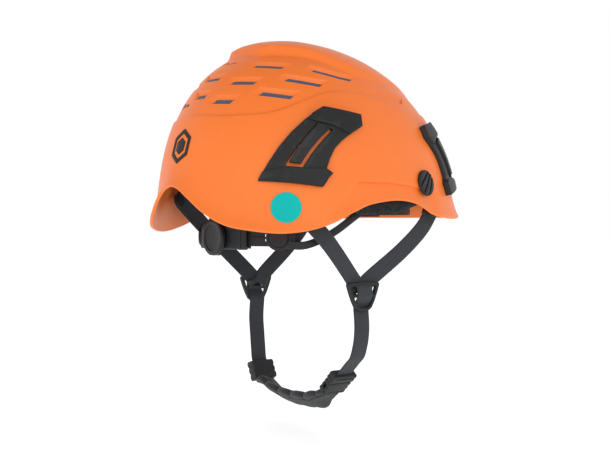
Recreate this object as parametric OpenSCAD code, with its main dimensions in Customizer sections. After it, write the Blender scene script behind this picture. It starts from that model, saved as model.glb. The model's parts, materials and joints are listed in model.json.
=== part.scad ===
// Arborist climbing helmet: vented shell, foam liner, dial-fit nape band and
// Y-strap chin harness. +Z up, front is -Y, wearer's left is +X, and the
// origin is the centre of the head opening in the brim plane.

/* [Shell] */
// Half width of the shell above the flare
shell_half_w = 105; // [95:1:127]
// Reach of the shell behind the origin
shell_rear = 115; // [105:1:138]
// Reach of the shell in front of the origin
shell_front = 151; // [135:1:182]
// Height of the dome above the brim plane, without the crest
shell_h = 145; // [125:1:175]
// Thickness of the shell wall
shell_wall = 3; // [2.4:0.1:3.6]
// Height of the raised crest at its rear end
crest_h = 7; // [4:0.5:9]
// How far the lower part stands proud of the vent field
seam_step = 1.5; // [0.8:0.1:2]
// Outward flare of the brim
brim_flare = 8; // [5:0.5:10]
// Outward flare of the nape skirt
skirt_flare = 8; // [5:0.5:10]
// Height of each vent slot
vent_h = 4; // [3:0.5:6]

/* [Liner and headband] */
// Thickness of the foam liner
liner_t = 16; // [12:1:20]
// Gap between the shell and the liner
liner_gap = 2.5; // [2.5:0.5:4]
// Half width of the headband
band_half_w = 78; // [72:1:80]
// Half length of the headband
band_half_l = 95; // [88:1:100]
// Height of the front headband
band_h = 28; // [22:1:34]
// Thickness of the headband
band_t = 1.6; // [1.2:0.1:2.2]
// Thickness of the brow sweatband
sweat_t = 4; // [2.5:0.5:5]

/* [Headlamp clips] */
// How far a clip stands off the shell
clip_t = 5.5; // [4:0.5:7]
// Width of the slot around the tongue
clip_slot = 3; // [2:0.5:4]
// Gap between a tongue and the shell under it
tongue_gap = 2; // [1.5:0.5:3]

/* [Nape adjuster] */
// Radius of the rack track
rack_r = 76; // [70:1:80]
// Thickness of a rack
rack_t = 1.6; // [1.4:0.1:1.8]
// Diameter of the dial
dial_d = 30; // [26:1:34]
// Thickness of the dial
dial_t = 4; // [3.5:0.5:6]
// Height of the adjuster housing
housing_h = 18; // [17:1:22]
// Diameter of a temple pivot pin
pivot_d = 6; // [5:0.5:7]
// Radial clearance of a turning pin
pin_play = 0.05; // [0.02:0.01:0.1]

/* [Harness] */
// Width of the webbing
web_w = 15; // [12:1:18]
// Thickness of the webbing
web_t = 1.4; // [1:0.1:1.8]
// Thickness of a strap divider
divider_t = 2.6; // [2:0.2:3.4]
// Width of the chin pad
pad_w = 26; // [22:1:30]
// Thickness of the chin pad
pad_t = 9; // [6:1:11]
// Width of the chin buckle
buckle_w = 24; // [21:1:28]
// Thickness of the chin buckle
buckle_t = 8; // [7:0.5:9]

/* [Hidden] */
$fn = 48;
LEFT = 1;
RIGHT = -1;
snug = 0.2;          // gap between a fixed piece and the shell it sits on
free_gap = 0.4;      // gap between two bodies that move past each other

// ---------------------------------------------------------------- curves
// value of a smooth curve through the [angle, value] keys
function key_slope(k, i) = i == 0 || i == len(k) - 1 ? 0 :
    let (h0 = k[i][0] - k[i-1][0], h1 = k[i+1][0] - k[i][0],
         d0 = (k[i][1] - k[i-1][1]) / h0, d1 = (k[i+1][1] - k[i][1]) / h1)
    (d0 * h1 + d1 * h0) / (h0 + h1);
function key_span(x, k, i = 0) = i >= len(k) - 2 || x <= k[i+1][0] ? i : key_span(x, k, i + 1);
function curve(x, k) = let (i = key_span(x, k), h = k[i+1][0] - k[i][0],
    t = min(max((x - k[i][0]) / h, 0), 1), t2 = t * t, t3 = t2 * t)
    (2*t3 - 3*t2 + 1) * k[i][1] + (t3 - 2*t2 + t) * h * key_slope(k, i)
    + (3*t2 - 2*t3) * k[i+1][1] + (t3 - t2) * h * key_slope(k, i + 1);
function ease(t) = let (c = min(max(t, 0), 1)) c * c * (3 - 2 * c);
function unit(v) = v / norm(v);
function fold(a) = abs((a + 180) % 360 - 180);          // 0 at the front, 180 behind

// ---------------------------------------------------------------- shell form
// edge height, seam height and flare by angle round the shell from the front
rim_keys = [[0, 0], [30, 0], [55, 0], [64, 3], [72, 11], [80, 14], [88, 12], [97, 5],
    [108, -5], [125, -12], [140, -10], [150, -6], [160, 4], [168, 15], [175, 23], [180, 25]];
seam_keys = [[0, 86], [38, 90], [62, 93], [75, 98], [90, 103], [109, 99], [120, 92],
    [131, 85], [151, 82], [180, 84]];
flare_keys = [[0, brim_flare], [30, brim_flare], [55, 5], [90, 4], [125, skirt_flare - 1],
    [150, skirt_flare], [180, skirt_flare - 1]];
flare_depth = 12;
crest_keys = [[-115, 40], [-70, 56], [-20, 66], [30, 42], [52, 24]];
crest_rear = 50;
crest_fade_z = 88;
seam_blend = 3;
crest_chamfer = 7;
row_power = 1.3;       // packs a dome's rows towards its edge

function rim_z(a) = curve(fold(a), rim_keys);
function seam_z(a) = curve(fold(a), seam_keys);
function side_power(a) = 2.18 + 0.22 * cos(a);
function dome_power(a) = 2.24 - 0.12 * cos(a);
function plan(a) = let (e = 2 / side_power(a))
    [shell_half_w * sign(sin(a)) * pow(abs(sin(a)), e),
     -(cos(a) > 0 ? shell_front : shell_rear) * sign(cos(a)) * pow(abs(cos(a)), e)];
// point on a surface parallel to the shell, grown by off and lifted with the crest
function bare_pt(a, z, off) = let (p = plan(a), r = norm(p), m = dome_power(a),
    u = min(max(z, 0) / (shell_h + off), 1), rho = pow(max(1 - pow(u, m), 0), 1 / m),
    fl = curve(fold(a), flare_keys) * exp(-max(z - rim_z(a), 0) / flare_depth),
    step = seam_step * ease((seam_z(a) - z) / seam_blend),
    k = (rho * (r + off) + fl + step) / r) [p[0] * k, p[1] * k, z];
function crest_lift(p) = let (w = curve(min(max(p[1], -115), 52), crest_keys))
    (2 + (crest_h - 2) * ease((p[1] + 90) / 140)) * ease((w + 2 - abs(p[0])) / crest_chamfer)
    * ease((crest_rear + 2 - p[1]) / crest_chamfer) * ease((p[2] - crest_fade_z) / 14);
function shell_pt(a, z, off = 0) = let (p = bare_pt(a, z, off))
    p + crest_lift(p) * unit([0.3 * p[0], 0.5 * p[1], max(p[2], 1)]);
function shell_normal(a, z) = let (d = 1)
    unit(cross(shell_pt(a, z + d) - shell_pt(a, z - d), shell_pt(a - d, z) - shell_pt(a + d, z)));

// ---------------------------------------------------------------- builders
// dome between two offsets, from its own edge heights up to the pole
module dome(off_out, off_in, edges, around, rings, crest = true) {
    top_out = shell_h + off_out;
    top_in = shell_h + off_in;
    ang = [for (j = [0:around - 1]) 360 * j / around];
    pt = function (a, z, off) crest ? shell_pt(a, z, off) : bare_pt(a, z, off);
    level = function (a, i, top) let (e = curve(fold(a), edges))
        e + (top - e) * pow(sin(90 * i / rings), row_power);
    outer = [for (i = [0:rings - 1]) for (a = ang) pt(a, level(a, i, top_out), off_out)];
    inner = [for (i = [0:rings - 1]) for (a = ang) pt(a, level(a, i, top_in), off_in)];
    n = around * rings;
    pole_out = pt(0, top_out, off_out);
    pole_in = pt(0, top_in, off_in);
    points = concat(outer, inner, [[0, 0, pole_out[2]], [0, 0, pole_in[2]]]);
    next = function (j) (j + 1) % around;
    walls = [for (i = [0:rings - 2]) for (j = [0:around - 1])
        let (b = i * around, c = b + around)
        each [[b + j, c + j, b + next(j)], [b + next(j), c + j, c + next(j)],
              [n + b + j, n + b + next(j), n + c + j],
              [n + b + next(j), n + c + next(j), n + c + j]]];
    last = (rings - 1) * around;
    caps = [for (j = [0:around - 1])
        each [[last + j, 2 * n, last + next(j)], [n + last + j, n + last + next(j), 2 * n + 1],
              [j, next(j), n + j], [next(j), n + next(j), n + j]]];
    polyhedron(points, concat(walls, caps), convexity = 6);
}

// patch of the shell's surface between two offsets
module skin_patch(a0, a1, z0, z1, off0, off1, na, nz) {
    m = (na + 1) * (nz + 1);
    grid = function (off) [for (i = [0:nz]) for (j = [0:na])
        shell_pt(a0 + (a1 - a0) * j / na, z0 + (z1 - z0) * i / nz, 0)
        + off * shell_normal(a0 + (a1 - a0) * j / na, z0 + (z1 - z0) * i / nz)];
    id = function (i, j) i * (na + 1) + j;
    faces = [for (i = [0:nz - 1]) for (j = [0:na - 1]) each [
        [id(i, j), id(i + 1, j), id(i, j + 1)], [id(i, j + 1), id(i + 1, j), id(i + 1, j + 1)],
        [m + id(i, j), m + id(i, j + 1), m + id(i + 1, j)],
        [m + id(i, j + 1), m + id(i + 1, j + 1), m + id(i + 1, j)]]];
    side_j = [for (i = [0:nz - 1]) each [
        [id(i, 0), m + id(i, 0), id(i + 1, 0)], [m + id(i, 0), m + id(i + 1, 0), id(i + 1, 0)],
        [id(i, na), id(i + 1, na), m + id(i, na)], [m + id(i, na), id(i + 1, na), m + id(i + 1, na)]]];
    side_i = [for (j = [0:na - 1]) each [
        [id(0, j), id(0, j + 1), m + id(0, j)], [m + id(0, j), id(0, j + 1), m + id(0, j + 1)],
        [id(nz, j), m + id(nz, j), id(nz, j + 1)], [m + id(nz, j), m + id(nz, j + 1), id(nz, j + 1)]]];
    polyhedron(concat(grid(off1), grid(off0)), concat(faces, side_j, side_i), convexity = 4);
}

// frame on the shell: x along the surface, y up the surface, z out of it
module on_shell(a, z, off = 0) {
    n = shell_normal(a, z);
    u = unit(cross([0, 0, 1], n));
    v = cross(n, u);
    p = shell_pt(a, z) + off * n;
    multmatrix([[u[0], v[0], n[0], p[0]], [u[1], v[1], n[1], p[1]], [u[2], v[2], n[2], p[2]],
        [0, 0, 0, 1]]) children();
}

// flat band swept along points, its width along wide
module ribbon(path, wide, w, t) {
    last = len(path) - 1;
    run = function (i) unit(path[min(i + 1, last)] - path[max(i - 1, 0)]);
    ends = [for (i = [0:last]) let (d = run(i), s = unit(wide[i] - d * (wide[i] * d)),
        n = cross(d, s)) each [for (c = [[-1, -1], [1, -1], [1, 1], [-1, 1]])
            path[i] + s * c[0] * w[i] / 2 + n * c[1] * t / 2]];
    sides = [for (i = [0:last - 1]) for (k = [0:3]) let (b = 4 * i, q = (k + 1) % 4)
        each [[b + k, b + 4 + k, b + q], [b + q, b + 4 + k, b + 4 + q]]];
    caps = [[1, 2, 3], [0, 1, 3], [4*last + 2, 4*last + 1, 4*last], [4*last + 3, 4*last + 2, 4*last]];
    polyhedron(ends, concat(sides, caps), convexity = 4);
}
function same(v, n) = [for (i = [1:n]) v];

// part of an elliptic ring
module oval_ring(a0, a1, rx, ry, cy, z0, z1, t, n) {
    at = function (i, g, z) let (a = a0 + (a1 - a0) * i / n)
        [(rx + g) * sin(a), cy - (ry + g) * cos(a), z];
    points = [for (i = [0:n]) each [at(i, 0, z0), at(i, t, z0), at(i, t, z1), at(i, 0, z1)]];
    sides = [for (i = [0:n - 1]) for (k = [0:3]) let (b = 4 * i, q = (k + 1) % 4)
        each [[b + k, b + q, b + 4 + k], [b + q, b + 4 + q, b + 4 + k]]];
    caps = [[2, 1, 0], [3, 2, 0], [4*n + 1, 4*n + 2, 4*n], [4*n + 2, 4*n + 3, 4*n]];
    polyhedron(points, concat(sides, caps), convexity = 4);
}

// solid arc of a ring about the rack centre, measured from straight behind
module arc_block(r0, r1, a0, a1, z0, z1) {
    translate([0, rack_cy, z0]) rotate([0, 0, 90 + a0])
        rotate_extrude(angle = a1 - a0, $fn = 96) translate([r0, 0]) square([r1 - r0, z1 - z0]);
}

// sends a faceted shape through one fast mesh step
module meshed() { resize([0, 0, 0]) children(); }

// ---------------------------------------------------------------- shell group
vents_side = [[-153, 123.5, -131, 121.5], [-111, 120, -88, 113.5], [-162, 109, -146, 108],
    [-129, 111, -108, 106.5], [-168, 93.5, -156, 92.5], [-142, 99, -125, 95.5]];
vents_rear = [[-190, 128.5, -170, 128.5], [-188, 113.5, -172, 113.5], [-185, 98.5, -175, 98.5]];
plug_a = -67;
plug_z = 29;
plug_d = 22;
plug_t = 3;
plug_hole_d = 11;

module both_sides() { children(); mirror([1, 0, 0]) children(); }
module on_side(side) { mirror([side == LEFT ? 1 : 0, 0, 0]) children(); }

module vent_cut(v) {
    p = shell_pt(v[0], v[1]);
    q = shell_pt(v[2], v[3]);
    u = unit(q - p);
    n0 = unit(shell_normal(v[0], v[1]) + shell_normal(v[2], v[3]));
    n = unit(n0 - u * (n0 * u));
    w = cross(n, u);
    multmatrix([[u[0], w[0], n[0], p[0]], [u[1], w[1], n[1], p[1]], [u[2], w[2], n[2], p[2]],
        [0, 0, 0, 1]]) translate([0, -vent_h / 2, -14]) cube([norm(q - p), vent_h, 28]);
}

module outer_shell() color("darkorange") meshed() difference() {
    dome(0, -shell_wall, rim_keys, 72, 20);
    both_sides() for (v = vents_side) vent_cut(v);
    for (v = vents_rear) vent_cut(v);
    both_sides() on_shell(plug_a, plug_z) cylinder(d = plug_hole_d, h = 20, center = true, $fn = 24);
}

mesh_off = -shell_wall - 0.7;
mesh_t = 0.6;
mesh_keys = [[0, 88], [180, 87]];
module vent_mesh() color("slategray") dome(mesh_off, mesh_off - mesh_t, mesh_keys, 72, 10,
    false);

liner_out = -shell_wall - liner_gap;
liner_in = liner_out - liner_t;
liner_keys = [[0, 14], [50, 16], [70, 8], [82, 2], [90, 3], [105, 12], [125, 26], [150, 34], [180, 38]];
module impact_liner() color("dimgray") dome(liner_out, liner_in, liner_keys, 48, 11, false);

crown_pad_t = 6;
crown_gap = 1;
crown_keys = [[0, shell_h + liner_in - 18], [180, shell_h + liner_in - 18]];
module crown_pad() color("dimgray")
    dome(liner_in - crown_gap, liner_in - crown_gap - crown_pad_t, crown_keys, 48, 5, false);

id_a = -126;
id_z = 8;
id_d = 24;
id_t = 0.8;
module id_disc() color("lightseagreen") meshed() intersection() {
    skin_patch(id_a - 14, id_a + 14, id_z - 18, id_z + 18, snug, snug + id_t, 12, 12);
    on_shell(id_a, id_z) cylinder(d = id_d, h = 12, center = true, $fn = 40);
}

emblem_z = 58;
emblem_w = 26;
emblem_bar = 3.4;
module hex_2d(w) { scale([1, 1.15]) rotate(30) circle(d = w, $fn = 6); }
module rear_emblem() color("dimgray") meshed() intersection() {
    skin_patch(-190, -170, emblem_z - 20, emblem_z + 20, snug, snug + id_t, 10, 10);
    on_shell(180, emblem_z) linear_extrude(14, center = true) {
        difference() { hex_2d(emblem_w); hex_2d(emblem_w - 2 * emblem_bar); }
        hex_2d(emblem_w - 4 * emblem_bar);
    }
}

module accessory_plug(side) color("dimgray") on_side(side) on_shell(plug_a, plug_z) {
    translate([0, 0, snug]) difference() {
        cylinder(d = plug_d, h = plug_t);
        for (i = [-2:2]) rotate([0, 0, 55]) translate([-plug_d, i * 3.6 - 0.6, plug_t - 1])
            cube([2 * plug_d, 1.2, 2]);
    }
    translate([0, 0, -shell_wall - 1]) cylinder(d = plug_hole_d - 0.6, h = shell_wall + 1.5);
}

// ---------------------------------------------------------------- headlamp clips
rear_clip = [-115, 55, 1, 0];      // angle, height, share of the outline's lean, shift
front_clip = [-46, 50, -0.62, -3];
clip_outline = [[2, 27], [10, 33], [25, 31], [42, 29], [42, 19], [31, 11], [24, 5], [18, -1],
    [14, -8], [10, -17], [15, -21], [11, -25], [7, -31], [-42, -25], [-34, -11], [-26, 0],
    [-16, 12], [-5, 22]];
tongue_outline = [[5, 18], [15, 15], [0, 0], [-9, -14], [-19, -12], [-10, 1]];
window_outline = [[5 - clip_slot / 2, 18 + free_gap], [15 + clip_slot, 15 + free_gap],
    [clip_slot, -1], [-9 + clip_slot / 2, -14 - clip_slot], [-20 - clip_slot, -12 - clip_slot],
    [-10 - clip_slot * 0.8, 1]];
function leaned(points, c) = [for (p = points) [c[2] * p[0] + c[3], p[1]]];

module clip_skin(c, t0, t1) skin_patch(c[0] - 30, c[0] + 30, c[1] - 37, c[1] + 37, t0, t1, 14, 12);
module clip_prism(c, points) on_shell(c[0], c[1]) translate([0, 0, -14]) linear_extrude(34)
    polygon(leaned(points, c));

module clip_frame(side, c) color("dimgray") on_side(side) meshed() intersection() {
    clip_skin(c, snug, clip_t);
    difference() { clip_prism(c, clip_outline); clip_prism(c, window_outline); }
}
module clip_tongue(side, c) color("dimgray") on_side(side) meshed() intersection() {
    clip_skin(c, tongue_gap, clip_t - 0.5);
    clip_prism(c, tongue_outline);
}

// ---------------------------------------------------------------- headband
band_cy = -19;
band_z = 2.5;
temple_y = -22;
temple_z = 11;
tab_x = band_half_w - 0.8;
tab_w = 22;
tab_h = 20;
arm_t = 1.8;
arm_x = tab_x + band_t + free_gap;
pin_head = 1.2;

module headband_front() color("dimgray") {
    oval_ring(-80, 80, band_half_w, band_half_l, band_cy, band_z, band_z + band_h, band_t, 36);
    both_sides() translate([tab_x, temple_y - tab_w / 2, temple_z - tab_h / 2]) difference() {
        cube([band_t, tab_w, tab_h]);
        translate([-1, tab_w / 2, tab_h / 2]) rotate([0, 90, 0]) cylinder(d = pivot_d, h = band_t + 2);
    }
}
module sweatband() color("gray") oval_ring(-58, 58, band_half_w - sweat_t - snug,
    band_half_l - sweat_t - snug, band_cy, band_z - 1, band_z + band_h + 1, sweat_t, 24);
module temple_pins() color("silver") both_sides() translate([tab_x - pin_head, temple_y, temple_z])
    rotate([0, 90, 0]) {
        cylinder(d = pivot_d, h = pin_head + band_t + free_gap + arm_t + 0.3);
        cylinder(d = pivot_d + 3, h = pin_head);
        translate([0, 0, pin_head + band_t + free_gap + arm_t + 0.3])
            cylinder(d = pivot_d + 3, h = pin_head);
    }

// ---------------------------------------------------------------- nape adjuster
rack_cy = -4;
rack_z = -16;
travel_dial = 120;
pinion_r = 4.5;
pinion_teeth = 8;
addendum = 1;
root_depth = 1.25;
layer_step = 2.3;
rack_mid = [rack_r + 2 - layer_step, rack_r + 2];    // right rack inside, left rack outside
function layer(side) = rack_mid[side == LEFT ? 1 : 0];
wall_h = 1.6;
housing_a = 24;
rack_h = housing_h - 2 * wall_h - 0.8;
cavity_in = rack_mid[0] - rack_t / 2 - 0.4;
cavity_out = rack_mid[1] + rack_t / 2 + 0.4;
housing_out = cavity_out + 1.8;
cover_t = 1.8;
shaft_d = 5;
disc_a = 44;
disc_d = 21;
neck_d = 5;
plate_r = cavity_out + 0.4;
rack_end_a = 56;
function travel(side) = travel_dial * pinion_r / layer(side);

// children stand at an angle round the nape, their +z pointing outward
module radial(a, r, z) translate([0, rack_cy, z]) rotate([0, 0, a]) translate([0, r, 0])
    rotate([-90, 0, 0]) children();

module rack_tooth(h_tip, h_root, w) linear_extrude(rack_t, center = true)
    polygon([[-w / 2 - 0.36 * root_depth, h_root], [w / 2 + 0.36 * root_depth, h_root],
        [w / 2 - 0.36 * addendum, h_tip], [-w / 2 + 0.36 * addendum, h_tip]]);

// the right rack's teeth are below the pinion and the left rack's above it
module rack(side) {
    r = layer(side);
    pitch = 2 * PI * pinion_r / pinion_teeth;
    pitch_a = pitch / r * 180 / PI;
    reach = travel(side) + 6;
    root = pinion_r + root_depth;
    bare = pinion_r + addendum + 0.5;
    lo = rack_z - (side == LEFT ? bare : root);
    hi = rack_z + (side == LEFT ? root : bare);
    slot_a = travel(side) + (neck_d / 2 + 0.35) / r * 180 / PI;
    a0 = side == LEFT ? -rack_end_a : -reach - 4;
    a1 = side == LEFT ? reach + 4 : rack_end_a;
    color("dimgray") {
        difference() {
            arc_block(r - rack_t / 2, r + rack_t / 2, a0, a1, rack_z - rack_h / 2, rack_z + rack_h / 2);
            arc_block(r - rack_t, r + rack_t, -reach, reach, lo, hi);
            arc_block(r - rack_t, r + rack_t, -side * disc_a - slot_a, -side * disc_a + slot_a,
                rack_z - neck_d / 2 - 0.35, rack_z + neck_d / 2 + 0.35);
        }
        for (i = [-4:3]) radial((i + 0.5) * pitch_a, r, rack_z)
            scale([1, -side, 1]) rack_tooth(pinion_r - addendum, root + 0.2, 0.38 * pitch);
    }
}

module adjuster_housing() color("dimgray") difference() {
    union() {
        arc_block(cavity_in, housing_out, -housing_a, housing_a, rack_z - housing_h / 2,
            rack_z + housing_h / 2);
        arc_block(cavity_out + 0.2, housing_out + 0.2, -9, 3, rack_z - housing_h / 2 - 6,
            rack_z + housing_h / 2 + 7);
    }
    arc_block(cavity_in - 1, cavity_out, -housing_a - 1, housing_a + 1,
        rack_z - housing_h / 2 + wall_h, rack_z + housing_h / 2 - wall_h);
    radial(0, cavity_in, rack_z) cylinder(d = shaft_d + 2 * pin_play, h = 20);
}
module housing_cover() color("gray") difference() {
    arc_block(cavity_in - cover_t, cavity_in, -housing_a, housing_a, rack_z - housing_h / 2,
        rack_z + housing_h / 2);
    radial(0, cavity_in - 5, rack_z) cylinder(d = shaft_d + 2 * pin_play, h = 10);
}
nape_pad_t = 4;
module nape_pad() color("dimgray") arc_block(cavity_in - cover_t - nape_pad_t,
    cavity_in - cover_t, -housing_a + 1, housing_a - 1, rack_z - housing_h / 2 - 2,
    rack_z + housing_h / 2 + 4);

module dial_knob() color("dimgray") radial(0, housing_out + 0.6, rack_z) difference() {
    cylinder(d = dial_d, h = dial_t);
    for (i = [0:23]) rotate([0, 0, i * 15]) translate([dial_d / 2 + 0.4, 0, -1])
        cylinder(d = 2.2, h = dial_t + 2, $fn = 16);
    translate([0, 0, dial_t - 1]) difference() {
        cylinder(d = dial_d - 7, h = 2);
        cylinder(d = dial_d - 12, h = 2);
    }
    translate([0, 0, -1]) cylinder(d = shaft_d - 1.2, h = 3);
}
pinion_tooth = [[0.65, pinion_r - root_depth], [0.65, pinion_r - 0.3], [0.35, pinion_r + addendum],
    [-0.35, pinion_r + addendum], [-0.65, pinion_r - 0.3], [-0.65, pinion_r - root_depth]];
module pinion() color("silver") {
    radial(0, cavity_in - cover_t + 0.3, rack_z) cylinder(d = shaft_d,
        h = housing_out + 0.6 - cavity_in + cover_t - 0.3);
    radial(0, housing_out + 0.6, rack_z) cylinder(d = shaft_d - 1.2, h = 2);
    radial(0, cavity_in + 0.3, rack_z) linear_extrude(cavity_out - cavity_in - 0.6)
        polygon([for (i = [0:pinion_teeth - 1]) let (a = i * 360 / pinion_teeth)
            each [for (p = pinion_tooth)
                [p[0] * cos(a) - p[1] * sin(a), p[0] * sin(a) + p[1] * cos(a)]]]);
}

arm_h = 6.5;
disc_x = (plate_r + arm_t / 2) * sin(disc_a);
disc_y = rack_cy + (plate_r + arm_t / 2) * cos(disc_a);
arm_mid = arm_x + arm_t / 2;
// centre line of the right side arm, from the temple boss back to the rack disc
arm_path = [[-arm_mid, temple_y + 4, temple_z - 2], [-arm_mid, -12, 5.5], [-arm_mid + 0.6, -2, -1],
    [-arm_mid + 2.2, 12, -10], [-arm_mid + 5.4, 26, -17.5], [-arm_mid + 10.4, 39, -22.5],
    [-disc_x - 5, disc_y - 5.5, rack_z - 6]];
arm_up = [0, 0.45, 0.9];
module side_arm(side) color("dimgray") on_side(side) difference() {
    union() {
        ribbon(arm_path, same(arm_up, 7), [9, arm_h, arm_h, arm_h, arm_h, arm_h, arm_h + 1], arm_t);
        translate([-arm_x - arm_t, temple_y, temple_z]) rotate([0, 90, 0])
            cylinder(d = pivot_d + 8, h = arm_t);
        radial(disc_a, plate_r, rack_z) cylinder(d = disc_d, h = arm_t);
    }
    translate([-arm_x - 5, temple_y, temple_z]) rotate([0, 90, 0])
        cylinder(d = pivot_d + 2 * pin_play, h = 10);
    radial(disc_a, plate_r - 3, rack_z) cylinder(d = neck_d, h = 10);
}
module rack_rivets() color("silver") for (side = [LEFT, RIGHT]) {
    inner = layer(side) - rack_t / 2 - 0.3;
    a = -side * disc_a;
    radial(a, inner, rack_z) cylinder(d = neck_d, h = plate_r + arm_t - inner);
    radial(a, inner - 1.2, rack_z) cylinder(d = neck_d + 4, h = 1.2);
    radial(a, plate_r + arm_t, rack_z) cylinder(d = 15, h = 1.6);
}

// ---------------------------------------------------------------- strap harness
// right-hand positions; the left side mirrors them
rear_anchor = [-124, 17, 11];      // angle, height, depth inside the shell
front_anchor = [-59, 3, 11];
function inside(c) = shell_pt(c[0], c[1]) - c[2] * shell_normal(c[0], c[1]);
rear_top = inside(rear_anchor);
front_top = inside(front_anchor);
divider_y = -17;
divider_top = -54;
divider_bottom = -76;
divider_x = shell_half_w - 28.5;
anchor_w = web_w + 5;

module anchor(c, top, along) {
    n = shell_normal(c[0], c[1]);
    ribbon([top + 8 * along, top, top - 6 * along], same(plate_way(c), 3),
        [8, anchor_w, anchor_w], 2.4);
    translate(top + n) rotate([0, acos(n[2]), atan2(n[1], n[0])])
        cylinder(d = 7, h = c[2] - shell_wall - snug - 1.2);
}
rear_dir = unit([0.05, 0.45, 0.9]);
front_dir = unit([0, -0.35, 0.94]);
module strap_anchors() color("dimgray") both_sides() {
    anchor(rear_anchor, rear_top, rear_dir);
    anchor(front_anchor, front_top, front_dir);
}
rear_start = rear_top - 6.3 * rear_dir;
front_start = front_top - 6.3 * front_dir;
strap_end_x = -divider_x + divider_t / 2 + web_t / 2 + 0.6;
rear_end = [strap_end_x, divider_y + 8, divider_top + 3];
front_end = [strap_end_x, divider_y - 8, divider_top + 3];
rear_mid = [-divider_x - 4, 25, -18];        // keeps the strap outside the side arm
front_mid = (front_start + front_end) / 2 + [0, -3.5, -2];
// width direction of an anchor's plate, which its strap leaves along
function plate_way(c) = let (n = shell_normal(c[0], c[1])) [n[1], -n[0], 0];
strap_steps = 9;
// curve that starts at p, passes q and ends at r
function arch(p, q, r, t) = (1 - t) * (1 - t) * p + t * (1 - t) * (4 * q - p - r) + t * t * r;
module strap(start, way, mid, end, dir, last_way) color("darkslategray") {
    steps = [for (i = [0:strap_steps]) i / strap_steps];
    ribbon(concat([start], [for (t = steps) arch(start - 5 * dir, mid, end, t)]),
        concat([way], [for (t = steps) (1 - t) * way + t * last_way]),
        same(web_w, strap_steps + 2), web_t);
}
module strap_rear(side) on_side(side)
    strap(rear_start, [0, -0.9, 0.45], rear_mid, rear_end, rear_dir, [0, -0.6, 0.8]);
module strap_front(side) on_side(side)
    strap(front_start, [0, 0.94, 0.35], front_mid, front_end, front_dir, [0, 0.6, 0.8]);

module divider_2d() hull() for (s = [-1, 1]) {
    translate([s * 14.5, divider_top - 3]) circle(r = 3, $fn = 24);
    translate([s * 6.5, divider_bottom + 3]) circle(r = 3, $fn = 24);
}
divider_bar = 2.7;
module divider(side) color("dimgray") on_side(side) translate([-divider_x, divider_y, 0])
    rotate([90, 0, 90]) linear_extrude(divider_t, center = true) {
        difference() { divider_2d(); offset(delta = -divider_bar) divider_2d(); }
        translate([-12, divider_top - 14]) square([24, divider_bar]);
    }

// ---------------------------------------------------------------- chin strap
chin_y = divider_y;
chin_top = divider_bottom - 1.6;
web_root = 5;                      // width of the webbing where it leaves a divider
buckle_tilt = 42;                  // slope of the right strap at the buckle
buckle_at = [-57, -126.5];         // x and z of the straight stretch's middle
buckle_dir = [cos(buckle_tilt), -sin(buckle_tilt)];
function on_line(s) = [buckle_at[0] + s * buckle_dir[0], chin_y, buckle_at[1] + s * buckle_dir[1]];
male_s = 6;
male_l = 9;
female_l = 15;
prong_l = 10;
release = 22;
across = [0, 1, 0];
right_path = concat([[-divider_x, chin_y, chin_top], [-divider_x + 0.1, chin_y, chin_top - 4],
    [-divider_x + 0.6, chin_y, -90], [-divider_x + 1.9, chin_y, -99],
    [-divider_x + 4.1, chin_y, -107.5]],
    [for (s = [male_s - release - 1, 0, male_s + male_l - 2]) on_line(s)]);
left_block_at = [66, -139.5];
left_block_l = 18;
left_tilt = 65;
function on_left(s) = [left_block_at[0] + s * cos(left_tilt), chin_y,
    left_block_at[1] + s * sin(left_tilt)];
left_path = [on_left(left_block_l / 2 + 0.2), [72.2, chin_y, -120], [73.8, chin_y, -106],
    [75.2, chin_y, -92], [divider_x - 0.6, chin_y, chin_top - 4], [divider_x, chin_y, chin_top]];
pad_path = [on_line(male_s + male_l + female_l + 1) + [1, 0, -0.6], [-16, chin_y, -156.8],
    [-4, chin_y, -158.3], [8, chin_y, -158.8], [20, chin_y, -158.6], [32, chin_y, -157.3],
    [44, chin_y, -154.8], [53, chin_y, -150.8], on_left(-left_block_l / 2 - 1.2) + [-3.1, 0, -2.5]];

module on_buckle(s) translate(on_line(s)) rotate([0, buckle_tilt, 0]) children();
module chin_web_left() color("darkslategray") ribbon(left_path, same(across, 6),
    concat(same(web_w, 5), [web_root]), web_t);
module chin_web_right() color("darkslategray") ribbon(right_path, same(across, 8),
    concat([web_root], same(web_w, 7)), web_t);
module chin_adjuster() color("dimgray") translate(on_left(0)) rotate([0, -left_tilt, 0])
    difference() {
        cube([left_block_l, buckle_w, buckle_t], center = true);
        for (s = [-1, 1]) for (i = [-1:1]) translate([i * 6, s * buckle_w / 2, 0])
            cylinder(d = 3, h = buckle_t + 2, center = true);
    }
pad_tilt = 27;                     // how far the pad's rear edge is turned up
module chin_pad() color("dimgray") ribbon(pad_path,
    [for (k = [0, 0.5, 1, 1, 1, 1, 1, 0.5, 0]) [0, cos(k * pad_tilt), sin(k * pad_tilt)]],
    [0.75, 0.95, 1, 1, 1, 1, 1, 0.95, 0.75] * pad_w, pad_t);
module buckle_female() color("dimgray") on_buckle(male_s + male_l + 0.4) difference() {
    translate([0, -buckle_w / 2, -buckle_t / 2]) cube([female_l, buckle_w, buckle_t]);
    translate([-1, -buckle_w / 2 + 2.5, -buckle_t / 2 + 2])
        cube([female_l - 2, buckle_w - 5, buckle_t - 4]);
    for (s = [-1, 1]) translate([7, s * buckle_w / 2, 0]) cube([6, 8, buckle_t - 4], center = true);
}
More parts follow.
